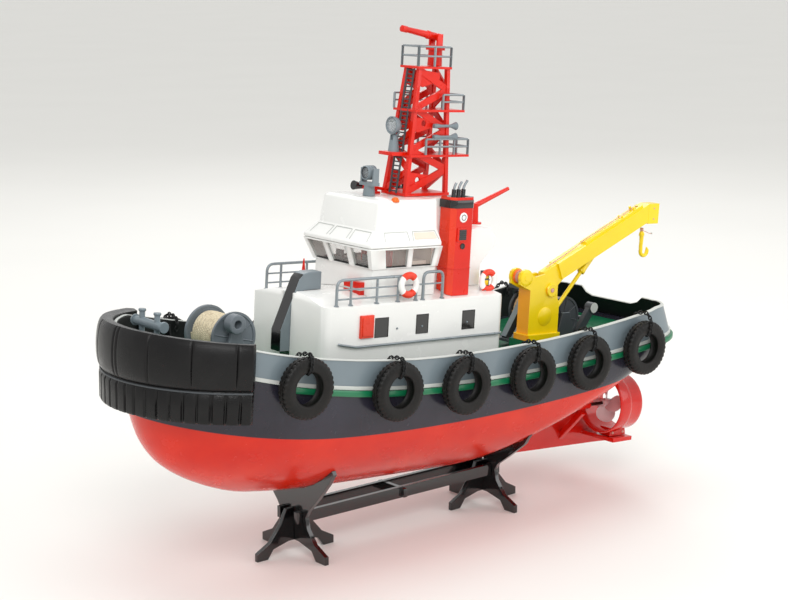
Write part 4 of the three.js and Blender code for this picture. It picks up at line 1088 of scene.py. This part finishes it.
def make_funnels():
    """Each funnel with its black cap, its forward faces in a lighter red as painted light on the lit side,
    side door and louvres, round badge and three pipes.
    """
    for name, side in SIDES:
        # Below the cap, faces turned forward take the lighter red: painted light, the lit side of the red
        # funnel.
        refined(f"{name}_funnel", "superstructure", ["red", "black", "light_red"], 0.6, 2,
                paint=lambda c, n: 1 if c.z > 292 else (2 if n.x > 0.5 else 0))
        bm = bmesh.new()
        face = side * 47
        x0, x1, y0, y1, corner = -36, -9.5, 29, 47, 4
        grow = 0.45
        plan = [(x0 - grow, y0), (x1 + grow, y0), (x1 + grow, y1 - corner), (x1 - corner, y1 + grow),
                (x0 + corner, y1 + grow), (x0 - grow, y1 - corner)]
        plan = [(x, side * y) for x, y in plan]
        prism(bm, plan, (292.5, 299.5), "xy")
        prism(bm, plan, (239.4, 240.2), "xy", 1)
        brick(bm, (-27, -15), through(face, side, 1, 1), (263.5, 275.5), 1)
        brick(bm, (-25.3, -17), through(face, side, 1, 1.15), (264.8, 274))
        for k in range(5):
            z = 266 + k * 1.75
            brick(bm, (-25, -17.3), through(face, side, -0.9, 1.7), (z, z + 0.6), 3)
        turned(bm, [(0.01, 0), (2.6, 0), (2.6, 0.9), (2.0, 0.9), (1.8, 0.3), (0.01, 0.3)], 24,
               (-22, face, 259.5), (0, side, 0))
        badge = (-21.5, face, 284.5)
        turned(bm, [(0.01, 0), (4.4, 0), (4.4, 0.5), (4.0, 0.8), (0.01, 0.8)], 36, badge,
               (0, side, 0), mat=2)
        lathe(bm, [(2.0, 0.6), (2.7, 0.6), (2.7, 1.0), (2.0, 1.0)], 28, badge, (0, side, 0), mat=3)
        emit(f"{name}_funnel_fittings", bm, "superstructure",
             ["black", "red", "white", "dark"], bevel=0.2)
        bm = bmesh.new()
        for k in range(3):
            x = x0 + 8 + k * 5.5
            route = [(x, 298), (x, 306), (x - 1.5, 311), (x - 5 + k, 315.5 - k)]
            tube(bm, bent([(a, side * 37, b) for a, b in route], 4), 1.15, 10)
        emit(f"{name}_funnel_pipes", bm, "superstructure", "rail")


def mast_half(z):
    """The mast's half length and half width at a height."""
    t = (z - 300.3) / 111.7
    return lerp(18, 4, t), lerp(14, 8, t)


def make_mast():
    refined("mast", "superstructure", ["red", "grey", "light_red"], 0.35, 1,
            paint=lambda c, n: 1 if c.x > 15.5 and c.z > 338.3 and abs(c.y) < 6 else 0)
    make_ladder_and_rails()
    make_trumpets()
    make_gussets()
    make_platform_lamp()


def make_ladder_and_rails():
    """The ladder on the raking front face, and the rails round the mast head and the platforms."""
    bm = bmesh.new()

    def front(z):
        return mast_half(z)[0] + 2.6
    for y in (-4.5, 4.5):
        for low, high in ((302, 333.5), (338.5, 411)):
            tube(bm, [(front(low), y, low), (front(high), y, high)], 0.9, 8, mat=1)
    z = 304
    while z < 410:
        if not 333 < z < 339:
            rod(bm, (front(z), -4.5, z), (front(z), 4.5, z), 0.6, 8, mat=1)
        z += 3.6

    def railing(corners, deck, height, closed=False):
        for level in (height, height * 0.52):
            run = [(x, y, deck + level) for x, y in corners]
            tube(bm, bent(run + run[:1] if closed else run, 2), 0.9, 8)
        ends = corners[1:] + (corners[:1] if closed else [])
        for (x0, y0), (x1, y1) in zip(corners, ends):
            spans = max(1, round(math.hypot(x1 - x0, y1 - y0) / 19))
            for k in range(spans + 1):
                t = k / spans
                post = (lerp(x0, x1, t), lerp(y0, y1, t))
                rod(bm, (*post, deck), (*post, deck + height), 1.1, 8)
    railing([(8, 11), (-29, 11), (-29, -11), (8, -11)], 412, 17, closed=True)
    railing([(-2, 15), (-51, 15), (-51, -15), (-2, -15)], 336, 13.5)
    railing([(-20, 14), (-44, 14), (-44, -14), (12, -14)], 375, 13)
    emit("mast_rails", bm, "superstructure", ["rail", "dark"])


def make_trumpets():
    """Two trumpets pointing aft."""
    bm = bmesh.new()
    trumpet = [(0.01, 4), (1.9, 3.6), (2.1, 0), (1.3, -5), (1.3, -15), (1.7, -17), (3.4, -21.5), (3.6, -22),
               (3.0, -21.6), (0.01, -18)]
    for z in (361, 351.5):
        turned(bm, trumpet, 18, (-14, 14.4, z), "x")
        brick(bm, (-18, -13), (11, 14), (z - 1, z + 1))
    emit("mast_trumpets", bm, "superstructure", "grey", bevel=0.2)


def ray_to_outline(outline, start, ahead):
    """The nearest place where a ray from inside an outline meets it."""
    best = math.inf
    for (px, pz), (qx, qz) in zip(outline, outline[1:] + outline[:1]):
        edge = Vector((qx - px, qz - pz))
        offset = Vector((px, pz)) - start
        cross = ahead.x * edge.y - ahead.y * edge.x
        if abs(cross) > 1e-9:
            t = (offset.x * edge.y - offset.y * edge.x) / cross
            along = (offset.x * ahead.y - offset.y * ahead.x) / cross
            if t > 0 and -0.001 <= along <= 1.001:
                best = min(best, t)
    return start + ahead * best


def make_gussets():
    """Side plates with a round hole at three heights of the mast, and a small box at two."""
    bm = bmesh.new()
    hole_radius, turns, half_thick = 2.6, 20, 0.9
    for z, reach in ((313, 10), (362, 8), (402, 9)):
        fore, half = mast_half(z)
        for side in (-1, 1):
            y = side * (half - 0.6)
            outline = [(fore - 2, z - reach), (fore - 24, z - reach * 0.3), (fore - 26, z + reach * 0.5),
                       (fore - 2, z + reach * 0.8)]
            hole = Vector((fore - 12, z + 1))
            spokes = [Vector((math.cos(a), math.sin(a)))
                      for a in (2 * math.pi * k / turns for k in range(turns))]
            ring = [hole + spoke * hole_radius for spoke in spokes]
            edge = [ray_to_outline(outline, hole, spoke) for spoke in spokes]
            skin(bm, [[(p.x, y + offset, p.y) for p in loop]
                      for loop, offset in ((ring, -half_thick), (edge, -half_thick), (edge, half_thick),
                                           (ring, half_thick))], closed_rows=True)
    for z in (330, 385):
        fore, half = mast_half(z)
        brick(bm, (-30, -26), (half - 3, half + 1), (z - 3, z + 3))
    emit("mast_gussets", bm, "superstructure", "red", bevel=0.25)


def make_platform_lamp():
    """The ring lamp on the low platform's pedestal, with its yoke and bright reflector."""
    bm = bmesh.new()
    centre = (22, 0, 360.6)
    bowl = [(0.01, -5.5), (3.2, -5.2), (6.4, -2), (7.6, 1), (7.9, 3.6), (7.2, 4.2), (6.6, 3.6), (6.2, 1.2),
            (3, -1.2), (0.01, -1.6)]
    turned(bm, bowl, 36, centre, "x", mat=lambda r, i: 1 if i >= 7 else 0)
    rod(bm, (centre[0], 0, 349), (centre[0], 0, 354), 1.6, 10)
    emit("mast_lamp_form", bm, "platform_lamp", ["grey", "steel"], bevel=0.15,
         replaced="mast_lamp")
    bm = bmesh.new()
    turned(bm, [(0.01, 2.4), (5.4, 2.4), (6.4, 3.2), (5.4, 3.9), (0.01, 4.6)], 32, centre, "x")
    emit("mast_lamp_glass", bm, "platform_lamp", "lens")
    bm = bmesh.new()
    reach = 8.9
    bend = [math.radians(lerp(-40, -140, k / 12)) for k in range(13)]
    tube(bm, [(centre[0], reach * math.cos(a), centre[2] + reach * math.sin(a)) for a in bend], 0.9, 8)
    emit("mast_lamp_yoke", bm, "superstructure", "grey")


def make_top_gear():
    """The monitors' turrets and the searchlight's yoke, then the barrel and the lamp that they carry."""
    refined("monitor_turret", "monitor_base", "red", 0.5)
    refined("aft_monitor", "stern_monitor", "red", 0.4)
    refined("lamp_yoke", "searchlight_yoke", "grey", 0.5)
    make_monitor_barrel()
    make_searchlight()


def make_monitor_barrel():
    """The fire monitor's stepped barrel and the drum that it tilts on."""
    bm = bmesh.new()
    start, end = Vector((-26, 0, 436.6)), Vector((20, 0, 443.5))
    stations = [(0, 0.4), (0.01, 3.0), (0.05, 3.4), (0.3, 3.3), (0.31, 3.7), (0.36, 3.7), (0.37, 3.1),
                (0.86, 2.5), (0.87, 2.9), (0.99, 2.9), (1, 2.0)]
    tube(bm, [start.lerp(end, t) for t, _ in stations], [r for _, r in stations], 22)
    rod(bm, (-20, -3.6, 437.4), (-20, 3.6, 437.4), 3.1, 20)
    emit("monitor_pipe_form", bm, "monitor_pipe", "red", replaced="monitor_barrel")


def make_searchlight():
    """The lamp over the bridge roof: ribbed drum, reflector and glass."""
    bm = bmesh.new()
    lamp_x, lamp_z = 47, 320
    drum = [(0.01, -5.5), (3.6, -5.2), (5.6, -3.6), (6.0, -1), (6.0, 5.6), (5.5, 6), (5.0, 5.4), (4.4, 2),
            (0.01, 0.5)]
    turned(bm, drum, 32, (lamp_x, 0, lamp_z), "x", mat=lambda r, i: 1 if i >= 6 else 0)
    rod(bm, (lamp_x, -6.7, lamp_z), (lamp_x, 6.7, lamp_z), 1.6, 12)
    for x in (lamp_x - 3, lamp_x, lamp_x + 3):
        lathe(bm, [(5.9, -0.4), (6.3, -0.4), (6.3, 0.4), (5.9, 0.4)], 32, (x, 0, lamp_z), "x")
    emit("searchlight_form", bm, "searchlight", ["grey", "dark"], replaced="roof_lamp")
    bm = bmesh.new()
    turned(bm, [(0.01, 3.4), (4.6, 3.4), (5.0, 4.2), (4.4, 4.8), (0.01, 5.3)], 28, (lamp_x, 0, lamp_z), "x")
    emit("searchlight_glass", bm, "searchlight", "lens")


# ------------------------------------------------------------------ crane
CRANE_Y = 34
PIVOT = (-140, 213)
SHEAVE = (-108, 226)
RISE = math.radians(23.7)
RAM_FOOT, RAM_HEAD = (-150, 188), (74, 6)


def on_boom(s, h, y=CRANE_Y):
    """A place s along the boom from its pivot and h above its line."""
    return (PIVOT[0] - math.cos(RISE) * s + math.sin(RISE) * h, y,
            PIVOT[1] + math.sin(RISE) * s + math.cos(RISE) * h)


def make_crane():
    make_turret()
    make_boom()
    make_sheave()
    make_ram()
    make_hook()


def make_turret():
    """The crane's house, with the discs that cover its three pins on each side."""
    refined("crane_turret", "crane_house", ["yellow", "amber", "steel"], 0.8, 3,
            paint=lambda c, n: 1 if n.x > 0.55 and c.z < 216 else 0)
    bm = bmesh.new()
    for side in (-1, 1):
        y = CRANE_Y + side * 7.5
        outward = (0, side, 0)
        lower_disc = [(0.01, -0.3), (8.6, -0.3), (8.6, 0.3), (8.1, 0.7), (0.01, 0.7)]
        sheave_disc = [(0.01, 0), (7.4, 0), (7.4, 0.5), (6.8, 0.9), (3.2, 0.9), (3.0, 1.3), (0.01, 1.4)]
        pivot_disc = [(0.01, 1.2), (5.6, 1.2), (6.2, 1.8), (5.6, 2.4), (2.6, 2.4), (2.4, 1.9), (0.01, 1.9)]
        pivot_bolt = [(0.01, 1.8), (2.1, 1.8), (1.8, 2.7), (0.01, 2.9)]
        turned(bm, lower_disc, 36, (-134, y, 189), outward)
        turned(bm, sheave_disc, 32, (SHEAVE[0], y, SHEAVE[1]), outward)
        turned(bm, pivot_disc, 28, (PIVOT[0], y, PIVOT[1]), outward)
        turned(bm, pivot_bolt, 14, (PIVOT[0], y, PIVOT[1]), outward, mat=1)
    emit("crane_discs", bm, "crane_house", ["yellow", "rivet"])


def make_boom():
    """The boom, with rivets and a seam on its head and two pairs of pins for the line on top."""
    refined("crane_boom", "boom", "yellow", 0.7, 3)
    bm = bmesh.new()
    for side in (-1, 1):
        face = CRANE_Y + side * 6.2
        for z in (284, 274):
            rivet = [(0.01, 0), (1.0, 0), (0.8, 0.5), (0.01, 0.6)]
            turned(bm, rivet, 12, (-274.5, face, z), (0, side, 0), mat=1)
        rod(bm, (-267, face, 287.4), (-267, face, 270.6), 0.35, 6)
    for s, top, radius in ((129, 23, 1.3), (112, 21.6, 0.8)):
        for side in (-1, 1):
            y = CRANE_Y + side * 2.4
            rod(bm, on_boom(s, 19.6, y), on_boom(s, top, y), radius, 10)
    emit("boom_fittings", bm, "boom", ["yellow", "rivet"])


def make_sheave():
    """The grooved wheel, with four turns of the line on it."""
    bm = bmesh.new()
    centre = (SHEAVE[0], CRANE_Y, SHEAVE[1])
    wheel = [(1.9, -4), (6.2, -4), (6.6, -3.6), (6.5, -2.8), (5.2, -1.2), (5.0, 0), (5.2, 1.2), (6.5, 2.8),
             (6.6, 3.6), (6.2, 4), (1.9, 4)]
    lathe(bm, wheel, 40, centre)
    for y in (0.9 * k for k in range(4)):
        lathe(bm, [(5.0, y - 1.6), (5.9, y - 1.3), (5.9, y - 1.0), (5.0, y - 0.8)], 32, centre, mat=1)
    emit("sheave_form", bm, "sheave", ["orange", "thread"], replaced="crane_sheave")


def make_ram():
    """The ram between the house and the boom: rod with its foot eye, cylinder with its head eye."""
    foot, head = Vector((RAM_FOOT[0], CRANE_Y, RAM_FOOT[1])), Vector(on_boom(*RAM_HEAD))
    span = (head - foot).length
    to_head = (head - foot).normalized()

    def ram(d):
        return foot + to_head * d
    bm = bmesh.new()
    lathe(bm, [(1.8, -3.6), (3.1, -3.6), (3.4, -3.2), (3.4, 3.2), (3.1, 3.6), (1.8, 3.6)], 24, foot)
    tube(bm, [ram(2.6), ram(4), ram(6), ram(span - 14)], [1.9, 2.4, 1.9, 1.9], 18)
    emit("ram_rod_form", bm, "ram_rod", "yellow", replaced="crane_ram_rod")
    bm = bmesh.new()
    cylinder = [(2.3, span - 30), (3.2, span - 30), (3.7, span - 29.4), (3.7, span - 26.8),
                (3.4, span - 26.2),
                (3.4, span - 4.6), (2.3, span - 4.6)]
    lathe(bm, cylinder, 24, foot, to_head)
    lathe(bm, [(2.9, -2.4), (4.2, -2.4), (4.6, -2), (4.6, 2), (4.2, 2.4), (2.9, 2.4)], 24, head)
    emit("ram_cylinder_form", bm, "ram_cylinder", "yellow", replaced="crane_ram_cylinder")


def make_hook():
    """The hook, which hangs plumb, and the knot that ties the line to it."""
    hang = Vector(on_boom(136, -2.6))
    plumb = Matrix.Rotation(TRIM, 3, "Y")

    def at(x, z, y=0.0):
        return hang + plumb @ Vector((x, y, z))
    bends = [math.radians(-20 + 10 * k) for k in range(25)]
    curl = [at(-3.5 + 4.6 * math.cos(a), -23 - 4.6 * math.sin(a)) for a in bends]
    path = [at(0, -7.6), at(0, -10), at(0.3, -14), at(0.9, -18)] + curl
    last = len(path) - 1

    def thickness(k):
        if k < 2:
            return 2.1
        return lerp(1.9, 1.8, k / last) if k < last - 3 else lerp(1.5, 0.7, (k - last + 3) / 3)
    radii = [thickness(k) for k in range(last + 1)]
    bm = bmesh.new()
    tube(bm, path, radii, 14)
    turned(bm, [(0.01, -8.2), (2.6, -8), (2.8, -7), (2.3, -4.8), (1.4, -3.6), (0.01, -3.4)], 18, hang,
           plumb @ Vector((0, 0, 1)))
    emit("hook_form", bm, "hook", "yellow", replaced="crane_hook")
    bm = bmesh.new()
    for k in range(4):
        tube(bm, [at(1.5 * math.cos(a), -3.3 + 0.8 * k + 0.3 * math.sin(a + k), 1.3 * math.sin(a))
                  for a in (2 * math.pi * n / 16 for n in range(16))], 0.42, 6, closed=True)
    tube(bm, bent([at(-1, -3), at(-5, -4.5, 1), at(-9, -6.5, 1.5), at(-12.5, -7, 1)], 3), 0.32, 6)
    turned(bm, [(0.01, -0.5), (0.8, -0.4), (0.9, 0.2), (0.01, 0.5)], 10, at(-12.9, -7, 1), "x", mat=1)
    emit("hook_knot", bm, "hook", ["thread", "trim"])


def make_crane_rope():
    """The line from the sheave over the boom to the hook, as (along, above) places on the boom."""
    route = [(8, 18.7), (20, 18.8), (35, 19), (50, 19.6), (60, 20.8), (80, 20.9), (100, 20.9), (120, 20.9),
             (129, 21.3), (133.6, 21.2), (135.7, 19), (135.8, 12), (135.8, 4), (135.8, -1)]
    points = [world(*on_boom(s, h)) for s, h in route]
    spline_points = []
    for i in range(len(points) - 1):
        last = min(len(points) - 1, i + 2)
        p0, p1, p2, p3 = points[max(0, i - 1)], points[i], points[i + 1], points[last]
        for k in range(4):
            t = k / 4
            spline_points.append(0.5 * ((2 * p1) + (p2 - p0) * t + (2 * p0 - 5 * p1 + 4 * p2 - p3) * t * t
                                        + (3 * p1 - p0 - 3 * p2 + p3) * t ** 3))
    spline_points.append(points[-1])
    curve = bpy.data.curves.new("crane_line", "CURVE")
    curve.dimensions = "3D"
    curve.bevel_depth = 0.0004
    curve.bevel_resolution = 3
    curve.use_fill_caps = True
    line = curve.splines.new("POLY")
    line.points.add(len(spline_points) - 1)
    for spot, p in zip(line.points, spline_points):
        spot.co = (*p, 1)
    rope = bpy.data.objects.new("crane_line", curve)
    bpy.context.scene.collection.objects.link(rope)
    curve.materials.append(FINISH["thread"])
    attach(rope, "boom")
    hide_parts("crane_rope")


# ------------------------------------------------------------------ nodes that keep their CAD shape
def finish_nodes():
    """Paints the deck and the parts inside the hull, and softens the stand."""
    keep = {"main_deck": "deck", "port_motor": "steel", "starboard_motor": "steel", "battery_pack": "wrap",
            "receiver_box": "black"}
    for node, key in keep.items():
        mesh = frame["nodes"][node].data
        mesh.materials.clear()
        mesh.materials.append(FINISH[key])
    for part in ("cradle_front", "cradle_rear", "foot_front", "foot_rear", "rails"):
        refined(f"stand_{part}", "stand", "stand", 0.35)


# ------------------------------------------------------------------ floor and light
def make_stage():
    """The floor, the sky light and four soft lamps."""
    mesh = bpy.data.meshes.new("floor")
    bm = bmesh.new()
    bmesh.ops.create_grid(bm, x_segments=1, y_segments=1, size=60)
    bm.to_mesh(mesh)
    bm.free()
    floor = bpy.data.objects.new("floor", mesh)
    bpy.context.scene.collection.objects.link(floor)
    n = Nodes("floor_paper", 0.7)
    n.link("Base Color", n.mix(n.noise(3, 2), linear("f2f1ed"), linear("f6f5f1")))
    mesh.materials.append(n.material)
    world_data = bpy.data.worlds.new("studio")
    world_data.use_nodes = True
    world_data.node_tree.nodes["Background"].inputs[0].default_value = (1, 1, 0.99, 1)
    world_data.node_tree.nodes["Background"].inputs[1].default_value = 0.78
    bpy.context.scene.world = world_data
    for name, at, size, energy in (("key", (1.2, 1.6, 1.7), 1.1, 19), ("fill", (-1.3, 1.4, 0.9), 1.3, 7),
                                   ("top", (0, 0, 2.1), 1.6, 9), ("rim", (-1.2, -1.5, 1.5), 1.0, 7)):
        lamp = bpy.data.lights.new(name, "AREA")
        lamp.shape = "DISK"
        lamp.size = size
        lamp.energy = energy
        obj = bpy.data.objects.new(name, lamp)
        bpy.context.scene.collection.objects.link(obj)
        obj.location = at
        obj.rotation_euler = (Vector((0, 0, 0.15)) - Vector(at)).to_track_quat("-Z", "Y").to_euler()
    bpy.context.scene.view_settings.view_transform = "Standard"


make_crane_rope()
make_hull()
make_bulwark()
make_strake()
make_fender()
make_tyres()
make_running_gear()
make_deck_gear()
make_house()
make_life_rings()
make_funnels()
make_mast()
make_top_gear()
make_crane()
finish_nodes()
make_stage()
